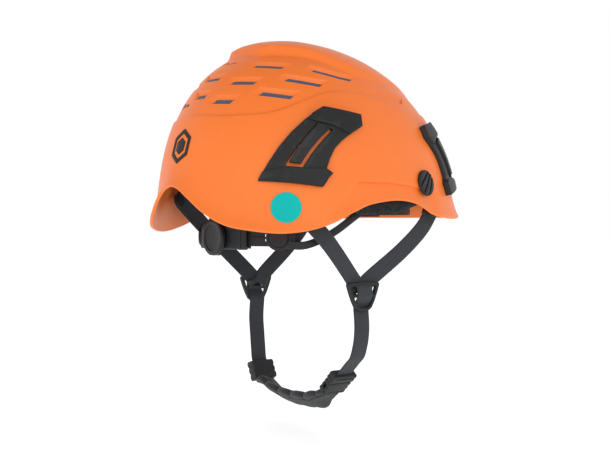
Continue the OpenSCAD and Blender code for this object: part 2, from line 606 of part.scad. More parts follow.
module buckle_male() color("dimgray") on_buckle(male_s) {
    difference() {
        translate([0, -buckle_w / 2, -buckle_t / 2]) cube([male_l, buckle_w, buckle_t]);
        translate([-1, -web_w / 2 - free_gap, -web_t / 2 - free_gap])
            cube([male_l + 2, web_w + 2 * free_gap, web_t + 2 * free_gap]);
    }
    for (s = [-1, 1]) translate([male_l - 1, s * (buckle_w / 2 - 3.4) - 0.6,
        -buckle_t / 2 + 2 + free_gap]) cube([prong_l + 1, 1.2, buckle_t - 4 - 2 * free_gap]);
}

outer_shell();
vent_mesh();
impact_liner();
crown_pad();
headband_front();
sweatband();
clip_frame(LEFT, rear_clip);  // clip_frame_rear_left
clip_frame(RIGHT, rear_clip);  // clip_frame_rear_right
clip_frame(LEFT, front_clip);  // clip_frame_front_left
clip_frame(RIGHT, front_clip);  // clip_frame_front_right
clip_tongue(LEFT, rear_clip);  // clip_tongue_rear_left
clip_tongue(RIGHT, rear_clip);  // clip_tongue_rear_right
clip_tongue(LEFT, front_clip);  // clip_tongue_front_left
clip_tongue(RIGHT, front_clip);  // clip_tongue_front_right
accessory_plug(LEFT);  // accessory_plug_left
accessory_plug(RIGHT);  // accessory_plug_right
strap_anchors();
temple_pins();
id_disc();
rear_emblem();
strap_front(LEFT);  // strap_front_left
strap_front(RIGHT);  // strap_front_right
strap_rear(LEFT);  // strap_rear_left
strap_rear(RIGHT);  // strap_rear_right
divider(LEFT);  // divider_left
divider(RIGHT);  // divider_right
side_arm(LEFT);  // side_arm_left
side_arm(RIGHT);  // side_arm_right
adjuster_housing();
housing_cover();
nape_pad();
rack_rivets();
rack(LEFT);  // rack_left
rack(RIGHT);  // rack_right
dial_knob();
pinion();
chin_web_left();
chin_web_right();
chin_adjuster();
chin_pad();
buckle_female();
buckle_male();
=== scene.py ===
# Arborist helmet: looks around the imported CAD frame. Lengths are written in millimetres
# and turned into metres by MM. +Z is up, -Y is the front, +X is the wearer's left.
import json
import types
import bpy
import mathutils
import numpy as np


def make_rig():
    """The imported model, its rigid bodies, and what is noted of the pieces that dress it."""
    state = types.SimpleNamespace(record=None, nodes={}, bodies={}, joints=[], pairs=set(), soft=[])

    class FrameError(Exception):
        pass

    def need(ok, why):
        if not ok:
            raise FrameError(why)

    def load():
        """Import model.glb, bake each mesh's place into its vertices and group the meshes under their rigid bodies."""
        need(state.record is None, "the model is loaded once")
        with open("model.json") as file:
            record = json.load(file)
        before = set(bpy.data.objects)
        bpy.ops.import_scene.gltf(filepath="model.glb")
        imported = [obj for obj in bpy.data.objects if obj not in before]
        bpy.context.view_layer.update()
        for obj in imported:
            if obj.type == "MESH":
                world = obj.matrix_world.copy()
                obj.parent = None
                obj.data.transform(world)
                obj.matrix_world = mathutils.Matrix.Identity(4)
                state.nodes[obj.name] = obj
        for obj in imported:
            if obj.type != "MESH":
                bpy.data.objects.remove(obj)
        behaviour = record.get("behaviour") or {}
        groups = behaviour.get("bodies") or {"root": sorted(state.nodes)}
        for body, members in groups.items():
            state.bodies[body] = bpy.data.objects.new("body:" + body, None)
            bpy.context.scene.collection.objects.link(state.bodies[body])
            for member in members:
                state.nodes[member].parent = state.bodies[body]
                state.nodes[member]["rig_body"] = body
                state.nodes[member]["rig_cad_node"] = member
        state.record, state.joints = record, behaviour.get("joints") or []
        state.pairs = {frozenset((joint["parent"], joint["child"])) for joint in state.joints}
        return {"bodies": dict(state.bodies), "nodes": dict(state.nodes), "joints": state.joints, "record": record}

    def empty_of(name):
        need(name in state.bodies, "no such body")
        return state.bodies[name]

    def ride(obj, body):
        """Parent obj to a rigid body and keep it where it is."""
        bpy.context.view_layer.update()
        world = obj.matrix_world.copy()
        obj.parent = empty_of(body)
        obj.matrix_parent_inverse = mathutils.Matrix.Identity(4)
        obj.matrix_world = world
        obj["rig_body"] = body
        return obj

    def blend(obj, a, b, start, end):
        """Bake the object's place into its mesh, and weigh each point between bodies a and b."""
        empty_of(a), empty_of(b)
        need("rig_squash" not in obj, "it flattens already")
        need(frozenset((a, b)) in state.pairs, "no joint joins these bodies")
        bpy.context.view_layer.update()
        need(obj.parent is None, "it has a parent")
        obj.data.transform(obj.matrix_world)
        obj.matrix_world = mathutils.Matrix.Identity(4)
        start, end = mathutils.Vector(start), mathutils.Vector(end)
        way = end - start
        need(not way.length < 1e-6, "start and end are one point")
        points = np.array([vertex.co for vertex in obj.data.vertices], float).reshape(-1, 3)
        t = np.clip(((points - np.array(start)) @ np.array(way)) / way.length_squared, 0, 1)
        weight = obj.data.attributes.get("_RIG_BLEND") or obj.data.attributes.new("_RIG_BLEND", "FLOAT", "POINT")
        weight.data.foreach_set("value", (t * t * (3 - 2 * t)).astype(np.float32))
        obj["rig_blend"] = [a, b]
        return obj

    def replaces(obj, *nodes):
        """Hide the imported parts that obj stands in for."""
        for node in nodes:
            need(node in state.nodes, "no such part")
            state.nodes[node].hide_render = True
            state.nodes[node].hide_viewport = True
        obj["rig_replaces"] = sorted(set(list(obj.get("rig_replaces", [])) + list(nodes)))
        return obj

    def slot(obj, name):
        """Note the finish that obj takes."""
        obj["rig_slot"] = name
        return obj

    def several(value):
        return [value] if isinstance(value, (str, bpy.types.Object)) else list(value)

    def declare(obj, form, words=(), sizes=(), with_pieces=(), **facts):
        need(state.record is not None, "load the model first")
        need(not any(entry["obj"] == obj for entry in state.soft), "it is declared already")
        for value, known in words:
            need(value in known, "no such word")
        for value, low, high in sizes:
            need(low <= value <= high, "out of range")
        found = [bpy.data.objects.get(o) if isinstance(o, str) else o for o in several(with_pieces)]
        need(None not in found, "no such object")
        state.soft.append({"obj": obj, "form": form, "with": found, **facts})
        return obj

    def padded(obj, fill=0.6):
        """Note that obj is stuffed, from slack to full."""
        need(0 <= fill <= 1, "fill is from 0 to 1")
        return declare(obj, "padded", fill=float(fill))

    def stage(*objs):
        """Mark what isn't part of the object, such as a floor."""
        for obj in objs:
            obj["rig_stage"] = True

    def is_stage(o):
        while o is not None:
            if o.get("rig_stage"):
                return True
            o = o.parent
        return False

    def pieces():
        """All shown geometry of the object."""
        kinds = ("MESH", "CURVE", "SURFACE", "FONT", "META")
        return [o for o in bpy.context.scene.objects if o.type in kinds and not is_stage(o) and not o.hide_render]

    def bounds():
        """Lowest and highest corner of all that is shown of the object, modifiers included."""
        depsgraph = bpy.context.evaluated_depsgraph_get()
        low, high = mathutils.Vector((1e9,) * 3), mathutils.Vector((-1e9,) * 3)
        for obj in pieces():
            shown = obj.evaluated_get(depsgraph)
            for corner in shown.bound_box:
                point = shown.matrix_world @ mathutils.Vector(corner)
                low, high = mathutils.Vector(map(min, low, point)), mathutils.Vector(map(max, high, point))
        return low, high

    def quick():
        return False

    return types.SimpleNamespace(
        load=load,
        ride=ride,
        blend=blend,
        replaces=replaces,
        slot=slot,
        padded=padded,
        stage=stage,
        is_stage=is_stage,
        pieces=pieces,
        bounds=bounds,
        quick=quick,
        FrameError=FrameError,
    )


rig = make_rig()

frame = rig.load()
import bpy, bmesh, json, math
import numpy as np
from mathutils import Vector
from mathutils.bvhtree import BVHTree
cad_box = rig.bounds()

MM = 0.001
LEFT, RIGHT = 1, -1
SIDES = ((LEFT, "left"), (RIGHT, "right"))


# ------------------------------------------------------------------ camera and light
def look_from(azimuth, distance, height, aim):
    cam = bpy.data.cameras.new("camera")
    cam.lens, cam.sensor_width = 70.2, 36.0
    cam.clip_start, cam.clip_end = 0.05, 30
    obj = bpy.data.objects.new("camera", cam)
    bpy.context.collection.objects.link(obj)
    a = math.radians(azimuth)
    obj.location = Vector((math.sin(a) * distance, -math.cos(a) * distance, height))
    obj.rotation_euler = (Vector(aim) - obj.location).to_track_quat("-Z", "Y").to_euler()
    bpy.context.scene.camera = obj


def area_light(name, place, size, power, colour=(1, 1, 1)):
    lamp = bpy.data.lights.new(name, "AREA")
    lamp.size, lamp.energy, lamp.color = size, power, colour
    obj = bpy.data.objects.new(name, lamp)
    bpy.context.collection.objects.link(obj)
    obj.location = place
    obj.rotation_euler = (-Vector(place)).to_track_quat("-Z", "Y").to_euler()


def studio():
    scene = bpy.context.scene
    scene.view_settings.view_transform = "Standard"
    world = bpy.data.worlds.new("studio")
    scene.world = world
    world.use_nodes = True
    tree = world.node_tree
    back = tree.nodes["Background"]
    coord = tree.nodes.new("ShaderNodeTexCoord")
    split = tree.nodes.new("ShaderNodeSeparateXYZ")
    ramp = tree.nodes.new("ShaderNodeValToRGB")
    tree.links.new(coord.outputs["Generated"], split.inputs[0])
    half = tree.nodes.new("ShaderNodeMath")
    half.operation = "MULTIPLY_ADD"
    half.inputs[1].default_value = half.inputs[2].default_value = 0.5
    tree.links.new(split.outputs["Z"], half.inputs[0])
    tree.links.new(half.outputs[0], ramp.inputs[0])
    tree.links.new(ramp.outputs[0], back.inputs["Color"])
    stops = ramp.color_ramp.elements
    stops.new(0.3)
    stops.new(0.675)
    for stop, (at, level) in zip(stops, ((0.0, 0.6), (0.3, 1.0), (0.675, 1.0), (0.975, 0.3))):
        stop.position, stop.color = at, (level, level, level * 1.02, 1)
    back.inputs["Strength"].default_value = 1.0
    area_light("key", (-1.7, 0.3, 0.9), 1.2, 4.5)
    area_light("fill", (-0.9, 1.5, 0.2), 1.0, 2.5)
    low = cad_box[0][2] - 12 * MM
    mesh = bpy.data.meshes.new("floor")
    s = 6.0
    mesh.from_pydata([(-s, -s, low), (s, -s, low), (s, s, low), (-s, s, low)], [], [(0, 1, 2, 3)])
    floor = bpy.data.objects.new("floor", mesh)
    bpy.context.collection.objects.link(floor)
    mat = bpy.data.materials.new("floor")
    mat.use_nodes = True
    bsdf = mat.node_tree.nodes["Principled BSDF"]
    bsdf.inputs["Base Color"].default_value = (0.7, 0.7, 0.7, 1)
    bsdf.inputs["Emission Color"].default_value = (1, 1, 1, 1)
    bsdf.inputs["Emission Strength"].default_value = 0.6
    mesh.materials.append(mat)
    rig.stage(floor)


CAMERA_DISTANCE = 1.030
look_from(233.0, CAMERA_DISTANCE, 0.0, (-0.0075, -0.0100, -0.0061))
studio()


# ------------------------------------------------------------------ materials
def material(name, colour, rough, **sockets):
    mat = bpy.data.materials.new(name)
    mat.use_nodes = True
    bsdf = mat.node_tree.nodes["Principled BSDF"]
    bsdf.inputs["Base Color"].default_value = (*colour, 1)
    bsdf.inputs["Roughness"].default_value = rough
    for key, value in sockets.items():
        bsdf.inputs[key.replace("_", " ")].default_value = value
    return mat, mat.node_tree, bsdf


def coords(tree, kind="Object"):
    return tree.nodes.new("ShaderNodeTexCoord").outputs[kind]


def noise(tree, vector, scale, detail=3.0, rough=0.5):
    node = tree.nodes.new("ShaderNodeTexNoise")
    tree.links.new(vector, node.inputs["Vector"])
    node.inputs["Scale"].default_value = scale
    node.inputs["Detail"].default_value = detail
    node.inputs["Roughness"].default_value = rough
    return node.outputs["Fac"]


def cells(tree, vector, scale, feature="F1"):
    node = tree.nodes.new("ShaderNodeTexVoronoi")
    node.feature = feature
    tree.links.new(vector, node.inputs["Vector"])
    node.inputs["Scale"].default_value = scale
    return node.outputs["Distance"]


def ramp(tree, factor, stops):
    node = tree.nodes.new("ShaderNodeValToRGB")
    tree.links.new(factor, node.inputs[0])
    elements = node.color_ramp.elements
    while len(elements) < len(stops):
        elements.new(0.5)
    for element, (place, colour) in zip(elements, stops):
        element.position = place
        element.color = (*colour, 1) if len(colour) == 3 else colour
    return node.outputs[0]


def grey(value):
    return (value, value, value)


def math_node(tree, operation, a, b=0.5):
    node = tree.nodes.new("ShaderNodeMath")
    node.operation = operation
    for socket, value in zip(node.inputs, (a, b)):
        if isinstance(value, (int, float)):
            socket.default_value = value
        else:
            tree.links.new(value, socket)
    return node.outputs[0]


def bump(tree, bsdf, height, strength, distance, under=None):
    node = tree.nodes.new("ShaderNodeBump")
    tree.links.new(height, node.inputs["Height"])
    node.inputs["Strength"].default_value = strength
    node.inputs["Distance"].default_value = distance
    if under is not None:
        tree.links.new(under, node.inputs["Normal"])
    tree.links.new(node.outputs[0], bsdf.inputs["Normal"])
    return node.outputs[0]


def edge_wear(tree, place=0.5, width=0.05):
    point = tree.nodes.new("ShaderNodeNewGeometry").outputs["Pointiness"]
    return ramp(tree, point, [(place, grey(0)), (place + width, grey(1))])


def mix_colour(tree, factor, a, b):
    node = tree.nodes.new("ShaderNodeMix")
    node.data_type = "RGBA"
    tree.links.new(factor, node.inputs["Factor"])
    for socket, value in ((node.inputs[6], a), (node.inputs[7], b)):
        if isinstance(value, tuple):
            socket.default_value = (*value, 1)
        else:
            tree.links.new(value, socket)
    return node.outputs[2]


def moulded(name, colour, rough, grain, strength, spread=0.12, wear=1.35, shine=0.25):
    """Moulded plastic: faint colour drift, a fine grain and paler worn edges."""
    mat, tree, bsdf = material(name, colour, rough, Specular_IOR_Level=shine)
    where = coords(tree)
    drift = noise(tree, where, 14, 4)
    low = tuple(c * (1 - spread) for c in colour)
    high = tuple(min(c * (1 + spread), 1) for c in colour)
    base = ramp(tree, drift, [(0.3, low), (0.7, high)])
    worn = tuple(min(c * wear + 0.004, 1) for c in colour)
    tree.links.new(mix_colour(tree, edge_wear(tree), base, worn), bsdf.inputs["Base Color"])
    fine = noise(tree, where, grain, 2, 0.6)
    tree.links.new(ramp(tree, fine, [(0.3, grey(rough - 0.06)), (0.7, grey(rough + 0.06))]),
                   bsdf.inputs["Roughness"])
    bump(tree, bsdf, fine, strength, 0.0004)
    return mat


def woven(name, colour, pitch=1.15):
    """Webbing: diagonal yarns across the width, bound edges, by the strap's own UVs."""
    mat, tree, bsdf = material(name, colour, 0.85, Sheen_Weight=0.12, Sheen_Roughness=0.5,
                               Specular_IOR_Level=0.2)
    uv = coords(tree, "UV")
    split = tree.nodes.new("ShaderNodeSeparateXYZ")
    tree.links.new(uv, split.inputs[0])
    across, along = split.outputs["X"], split.outputs["Y"]
    turn = 2 * math.pi / pitch
    ribs = math_node(tree, "SINE", math_node(tree, "MULTIPLY", along, turn))
    warp = math_node(tree, "SINE", math_node(tree, "MULTIPLY", across, turn * 1.6))
    yarn = math_node(tree, "MULTIPLY", ribs, warp)
    half = math_node(tree, "MULTIPLY", math_node(tree, "ADD", yarn, 1.0), 0.5)
    fuzz = noise(tree, coords(tree), 900, 3)
    height = math_node(tree, "ADD", half, math_node(tree, "MULTIPLY", fuzz, 0.35))
    dark = tuple(c * 0.62 for c in colour)
    light = tuple(min(c * 1.35, 1) for c in colour)
    tree.links.new(ramp(tree, height, [(0.2, dark), (1.1 / 1.35, light)]), bsdf.inputs["Base Color"])
    bump(tree, bsdf, height, 0.6, 0.0004)
    return mat


def pad_cloth(name, colour, thread=1.1):
    """Knitted pad cover: small cells of yarn with fibres over them."""
    mat, tree, bsdf = material(name, colour, 0.92, Sheen_Weight=0.2, Sheen_Roughness=0.55,
                               Specular_IOR_Level=0.2)
    where = coords(tree)
    knit = cells(tree, where, 1000 / thread)
    fuzz = noise(tree, where, 1600, 2)
    height = math_node(tree, "ADD", knit, math_node(tree, "MULTIPLY", fuzz, 0.4))
    drift = noise(tree, where, 30, 4)
    both = math_node(tree, "ADD", math_node(tree, "MULTIPLY", height, 0.6),
                     math_node(tree, "MULTIPLY", drift, 0.5))
    dark = tuple(c * 0.55 for c in colour)
    light = tuple(min(c * 1.7, 1) for c in colour)
    tree.links.new(ramp(tree, both, [(0.25, dark), (0.85, light)]), bsdf.inputs["Base Color"])
    bump(tree, bsdf, height, 0.7, 0.0005)
    return mat


def bead_foam(name, colour):
    """Expanded bead foam: rounded beads with dark seams and pale specks."""
    mat, tree, bsdf = material(name, colour, 0.8, Specular_IOR_Level=0.25)
    where = coords(tree)
    bead = cells(tree, where, 330)
    speck = cells(tree, where, 700)
    seam = ramp(tree, bead, [(0.0, tuple(c * 1.7 for c in colour)), (0.5, colour), (0.8, (0.003,) * 3)])
    dots = ramp(tree, speck, [(0.10, grey(1)), (0.2, grey(0))])
    tree.links.new(mix_colour(tree, dots, seam, (0.05, 0.05, 0.053)), bsdf.inputs["Base Color"])
    bump(tree, bsdf, math_node(tree, "SUBTRACT", 1.0, bead), 0.7, 0.0012)
    return mat


def insect_mesh(name, colour):
    """Fine square mesh seen through the vents."""
    mat, tree, bsdf = material(name, colour, 0.55)
    where = coords(tree)
    waves = []
    for direction in ("X", "Y", "Z"):
        node = tree.nodes.new("ShaderNodeTexWave")
        node.bands_direction = direction
        tree.links.new(where, node.inputs["Vector"])
        node.inputs["Scale"].default_value = 190
        waves.append(node.outputs["Fac"])
    grid = math_node(tree, "MAXIMUM", math_node(tree, "MAXIMUM", waves[0], waves[1]), waves[2])
    dark = tuple(c * 0.45 for c in colour)
    tree.links.new(ramp(tree, grid, [(0.75, dark), (0.95, colour)]), bsdf.inputs["Base Color"])
    bump(tree, bsdf, grid, 0.5, 0.0004)
    return mat


def turned_steel(name):
    mat, tree, bsdf = material(name, (0.55, 0.55, 0.57), 0.3, Metallic=1.0)
    rings = noise(tree, coords(tree), 700, 2)
    tree.links.new(ramp(tree, rings, [(0.3, grey(0.22)), (0.7, grey(0.4))]), bsdf.inputs["Roughness"])
    bump(tree, bsdf, rings, 0.15, 0.0002)
    return mat


ORANGE = moulded("shell_orange", (0.95, 0.205, 0.030), 0.40, 1100, 0.08, 0.03, 1.05, 0.3)
BLACK = moulded("plastic_black", (0.015, 0.0155, 0.016), 0.5, 1500, 0.22)
BLACK_SMOOTH = moulded("plastic_smooth", (0.014, 0.0145, 0.015), 0.38, 1500, 0.10)
TEAL = moulded("disc_teal", (0.004, 0.47, 0.43), 0.4, 900, 0.015, 0.03, 1.02, 0.1)
WEBBING = woven("webbing", (0.036, 0.040, 0.046))
PAD = pad_cloth("comfort_pad", (0.024, 0.025, 0.028))
CHIN = pad_cloth("chin_pad_fabric", (0.022, 0.023, 0.025), 0.9)
FOAM = bead_foam("liner_foam", (0.012, 0.012, 0.013))
MESH = insect_mesh("vent_mesh", (0.085, 0.125, 0.19))
STEEL = turned_steel("steel")


# ------------------------------------------------------------------ mesh helpers
def new_object(name, verts, faces, mat, smooth=True):
    mesh = bpy.data.meshes.new(name)
    mesh.from_pydata([tuple(float(c) * MM for c in v) for v in verts], [], faces)
    mesh.update()
    obj = bpy.data.objects.new(name, mesh)
    bpy.context.collection.objects.link(obj)
    mesh.materials.append(mat)
    if smooth:
        mesh.shade_smooth()
    return obj


def place(obj, body, slot, *nodes):
    if nodes:
        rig.replaces(obj, *nodes)
    if body:
        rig.ride(obj, body)
    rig.slot(obj, slot)
    return obj


def apply_modifiers(obj):
    bpy.context.view_layer.objects.active = obj
    graph = bpy.context.evaluated_depsgraph_get()
    mesh = bpy.data.meshes.new_from_object(obj.evaluated_get(graph))
    obj.modifiers.clear()
    old, obj.data = obj.data, mesh
    bpy.data.meshes.remove(old)
    return obj


def bevelled(obj, width, segments=2, angle=35):
    mod = obj.modifiers.new("bevel", "BEVEL")
    mod.width, mod.segments = width * MM, segments
    mod.limit_method, mod.angle_limit = "ANGLE", math.radians(angle)
    mod.harden_normals = False
    apply_modifiers(obj)
    smooth_by_angle(obj)
    return obj


def smooth_by_angle(obj, angle=40):
    mesh = obj.data
    mesh.shade_smooth()
    bm = bmesh.new()
    bm.from_mesh(mesh)
    for edge in bm.edges:
        if len(edge.link_faces) == 2 and edge.calc_face_angle() > math.radians(angle):
            edge.smooth = False
    bm.to_mesh(mesh)
    bm.free()


def carve(obj, cutter, operation="DIFFERENCE"):
    mod = obj.modifiers.new("carve", "BOOLEAN")
    mod.operation, mod.object, mod.solver = operation, cutter, "MANIFOLD"
    apply_modifiers(obj)
    bpy.data.objects.remove(cutter)
    return obj


def joined(parts):
    """Vertices and faces of several parts as one list each."""
    verts, faces, shift = [], [], 0
    for part_verts, part_faces in parts:
        verts += list(part_verts)
        faces += [tuple(i + shift for i in f) for f in part_faces]
        shift = len(verts)
    return verts, faces


def ring_faces(rings, count, closed=True, wrap=False):
    """Quads between rows of points; closed joins each row round, wrap joins the last row to the first."""
    faces = []
    rows = rings if wrap else rings - 1
    for i in range(rows):
        a, b = i * count, ((i + 1) % rings) * count
        for j in range(count if closed else count - 1):
            k = (j + 1) % count
            faces.append((a + j, a + k, b + k, b + j))
    return faces


def unit(v):
    v = np.asarray(v, float)
    return v / np.linalg.norm(v, axis=-1, keepdims=True)


def smooth_path(points, steps):
    """Catmull-Rom curve through points, evenly spaced in parameter."""
    p = np.asarray(points, float)
    p = np.vstack([2 * p[0] - p[1], p, 2 * p[-1] - p[-2]])
    out = []
    for i in range(1, len(p) - 2):
        for t in np.linspace(0, 1, steps, endpoint=False):
            out.append(0.5 * (2 * p[i] + (p[i + 1] - p[i - 1]) * t
                              + (2 * p[i - 1] - 5 * p[i] + 4 * p[i + 1] - p[i + 2]) * t ** 2
                              + (3 * p[i] - p[i - 1] - 3 * p[i + 1] + p[i + 2]) * t ** 3))
    return np.array(out + [p[-2]])


def mirrored(points, side):
    """Right-hand points, or their mirror image for the left side."""
    p = np.array(points, float)
    if side == LEFT:
        p[..., 0] *= -1
    return p


# ------------------------------------------------------------------ shell form (as the CAD source)
HALF_W, REAR, FRONT, HEIGHT, WALL = 105, 115, 151, 145, 3
CREST_H, SEAM_STEP = 7, 1.5
RIM = ((0, 0), (30, 0), (55, 0), (64, 3), (72, 11), (80, 14), (88, 12), (97, 5), (108, -5),
       (125, -12), (140, -10), (150, -6), (160, 4), (168, 15), (175, 23), (180, 25))
SEAM = ((0, 86), (38, 90), (62, 93), (75, 98), (90, 103), (109, 99), (120, 92), (131, 85),
        (151, 82), (180, 84))
FLARE = ((0, 8), (30, 8), (55, 5), (90, 4), (125, 7), (150, 8), (180, 7))
FLARE_DEPTH = 12
CREST = ((-115, 40), (-70, 56), (-20, 66), (30, 42), (52, 24))
CREST_REAR, CREST_FADE = 50, 88
CREST_CHAMFER, CREST_END = 7, 8       # widths of the slopes beside and behind the crest
PANEL_DEPTH = 2.0                     # of the sunk panel over each ear


def keyed(x, keys):
    """Smooth curve through (angle, value) keys, as in the CAD source."""
    k = np.array(keys, float)
    h, d = np.diff(k[:, 0]), np.diff(k[:, 1]) / np.diff(k[:, 0])
    slope = np.zeros(len(k))
    slope[1:-1] = (d[:-1] * h[1:] + d[1:] * h[:-1]) / (h[:-1] + h[1:])
    x = np.asarray(x, float)
    i = np.clip(np.searchsorted(k[:, 0], x, side="left") - 1, 0, len(h) - 1)
    t = np.clip((x - k[i, 0]) / h[i], 0, 1)
    return ((2 * t**3 - 3 * t**2 + 1) * k[i, 1] + (t**3 - 2 * t**2 + t) * h[i] * slope[i]
            + (3 * t**2 - 2 * t**3) * k[i + 1, 1] + (t**3 - t**2) * h[i] * slope[i + 1])


def ease(t):
    t = np.clip(t, 0, 1)
    return t * t * (3 - 2 * t)


def fold(a):
    return np.abs((np.asarray(a, float) + 180) % 360 - 180)


def panel_top(f):
    return np.maximum(28.8 - 0.24 * np.clip(84 - f, 0, 40), keyed(f, RIM) + 8)


def shell_pt(a, z, off=0.0, crest=True, seam=True, panel=False):
    """Point on the shell's outer surface, moved out by off. a is 0 in front and 180 behind."""
    a, z = np.broadcast_arrays(np.asarray(a, float), np.asarray(z, float))
    r, f = np.radians(a), fold(a)
    side, dome = 2.18 + 0.22 * np.cos(r), 2.24 - 0.12 * np.cos(r)
    s, c = np.sin(r), np.cos(r)
    px = HALF_W * np.sign(s) * np.abs(s) ** (2 / side)
    py = -np.where(c > 0, FRONT, REAR) * np.sign(c) * np.abs(c) ** (2 / side)
    plan = np.hypot(px, py)
    u = np.clip(z, 0, None) / (HEIGHT + off)
    rho = np.clip(1 - np.clip(u, 0, 1) ** dome, 0, None) ** (1 / dome)
    out = keyed(f, FLARE) * np.exp(-np.clip(z - keyed(f, RIM), 0, None) / FLARE_DEPTH)
    if seam:
        out = out + SEAM_STEP * ease((keyed(f, SEAM) - z) / 1.6)
    else:
        out = out + SEAM_STEP * ease((keyed(f, SEAM) - z + 10) / 20)
    if panel:
        under = panel_top(f) - z
        out = out - PANEL_DEPTH * ease(under / 1.2) * ease((f - 58) / 8) \
            * ease((96.5 + under * 0.5 - f) / 2.5) * (1 - 0.6 * ease((under - 14) / 16))
    k = (rho * (plan + off) + out) / plan
    p = np.stack([px * k, py * k, z], -1)
    if crest:
        w = keyed(np.clip(p[..., 1], -115, 52), CREST)
        lift = ((2 + (CREST_H - 2) * ease((p[..., 1] + 90) / 140))
                * ease((w + 2 - np.abs(p[..., 0])) / CREST_CHAMFER)
                * ease((CREST_REAR + 2 - p[..., 1]) / CREST_END) * ease((p[..., 2] - CREST_FADE) / 14))
        way = unit(np.stack([0.3 * p[..., 0], 0.5 * p[..., 1], np.maximum(p[..., 2], 1)], -1))
        p = p + lift[..., None] * way
    return p


def shell_normal(a, z, step=1.0):
    up = shell_pt(a, z + step, seam=False, crest=False) - shell_pt(a, z - step, seam=False, crest=False)
    back = shell_pt(a - step, z, seam=False, crest=False) - shell_pt(a + step, z, seam=False, crest=False)
    return unit(np.cross(up, back))


def dome_rows(a, edges, top, rows, seam_rows=None):
    """Heights of the rows of a dome, from its edge up to just below the pole."""
    e = keyed(fold(a), edges)
    if seam_rows:
        low, high = seam_rows
        s = keyed(fold(a), SEAM)
        t = panel_top(fold(a))
        count = low // 3
        below = [e + (t - 1.2 - e) * i / count for i in range(count + 1)]
        below += [t - 0.9, t - 0.6, t - 0.3]
        below += [t + (s - 1.6 - t) * i / (low - count) for i in range(low - count + 1)]
        step = [s - 1.2, s - 0.8, s - 0.4, s]
        above = [s + (top - s) * math.sin(math.pi / 2 * i / high) ** 0.9 for i in range(1, high)]
        return np.array(below + step + above)
    return np.array([e + (top - e) * math.sin(math.pi / 2 * i / rows) ** 0.9 for i in range(rows)])


def dome_shell(name, off_out, off_in, edges, around, mat, rows=40, seam_rows=None, crest=True,
               seam=True, panel=False):
    """Closed dome between two offsets with a rounded edge."""
    a = np.arange(around) * 360.0 / around
    half = (off_out - off_in) / 2
    lifted = tuple((k, v + half) for k, v in edges)
    layers = []
    for off in (off_out, off_in):
        z = dome_rows(a, lifted, HEIGHT + off, rows, seam_rows)
        layers.append(shell_pt(a[None, :], z, off, crest, seam, panel and off == off_out))
    outer, inner = layers
    mid = (outer[0] + inner[0]) / 2
    lip = []
    for t in np.linspace(0, math.pi, 8)[1:-1]:
        p = mid + (outer[0] - mid) * math.cos(t)
        p[:, 2] = outer[0][:, 2] - half * math.sin(t)
        lip.append(p)
    rows_all = np.concatenate([outer[::-1], np.array(lip), inner])
    n, m = around, len(rows_all)
    poles = [shell_pt(0, HEIGHT + off, off, crest, seam) * [0, 0, 1] for off in (off_out, off_in)]
    verts = list(rows_all.reshape(-1, 3)) + poles
    faces = list(ring_faces(m, n))
    for j in range(n):
        k = (j + 1) % n
        faces.append((k, j, n * m))
        faces.append((n * (m - 1) + j, n * (m - 1) + k, n * m + 1))
    obj = new_object(name, verts, faces, mat)
    bm = bmesh.new()
    bm.from_mesh(obj.data)
    bmesh.ops.recalc_face_normals(bm, faces=bm.faces)
    bm.to_mesh(obj.data)
    bm.free()
    return obj


# ------------------------------------------------------------------ vents
# start angle and height, end angle and height, as in the CAD source
VENTS_SIDE = ((-153, 123.5, -131, 121.5), (-111, 120, -88, 113.5), (-162, 109, -146, 108),
              (-129, 111, -108, 106.5), (-168, 93.5, -156, 92.5), (-142, 99, -125, 95.5))
VENTS_REAR = ((-190, 128.5, -170, 128.5), (-188, 113.5, -172, 113.5), (-185, 98.5, -175, 98.5))
SCOOP = (-77, 103.5, -60, 98)
SLOT_H = 4.0


def vent_stations(v):
    """A function that gives the point at (along, across, off the shell) on a vent; and its length."""
    p, q = shell_pt(v[0], v[1]), shell_pt(v[2], v[3])
    length = float(np.linalg.norm(q - p))

    def at(u, w, h):
        t = u / length
        a, z = v[0] + (v[2] - v[0]) * t, v[1] + (v[3] - v[1]) * t
        here = shell_pt(a, z)
        n = shell_normal(a, z)
        along = q - p
        along = unit(along - n * (along @ n))
        up = np.cross(n, along)
        return here + up * w + n * h
    return at, length


def wedge(v, top, depth, start, lean, overhang, skew, floor_w):
    """Cutter for one recess: upright bottom wall, sloping top and end walls."""
    at, length = vent_stations(v)
    bottom, steps, above = -SLOT_H / 2, 9, 2.5
    # (u at the start, u at the end, w) on the surface and at the floor
    surface = ((start, length + overhang * 0.1, bottom), (lean, length + overhang, top))
    floor = ((1.2, length - 0.6, bottom), (skew + 1.2, length + skew - 0.6, floor_w))
    rings = []
    for i in range(steps + 1):
        s = i / steps
        row = []
        for (s0, s1, w), (f0, f1, fw) in zip(surface, floor):
            us, uf = s0 + (s1 - s0) * s, f0 + (f1 - f0) * s
            grow = above / depth
            row.append((at(us + (us - uf) * grow, w + (w - fw) * grow, above), at(uf, fw, -depth)))
        rings.append([row[0][0], row[1][0], row[1][1], row[0][1]])
    pts = np.array(rings).reshape(-1, 3)
    faces = ring_faces(len(rings), 4) + [(3, 2, 1, 0)]
    last = 4 * steps
    return pts, faces + [(last, last + 1, last + 2, last + 3)]


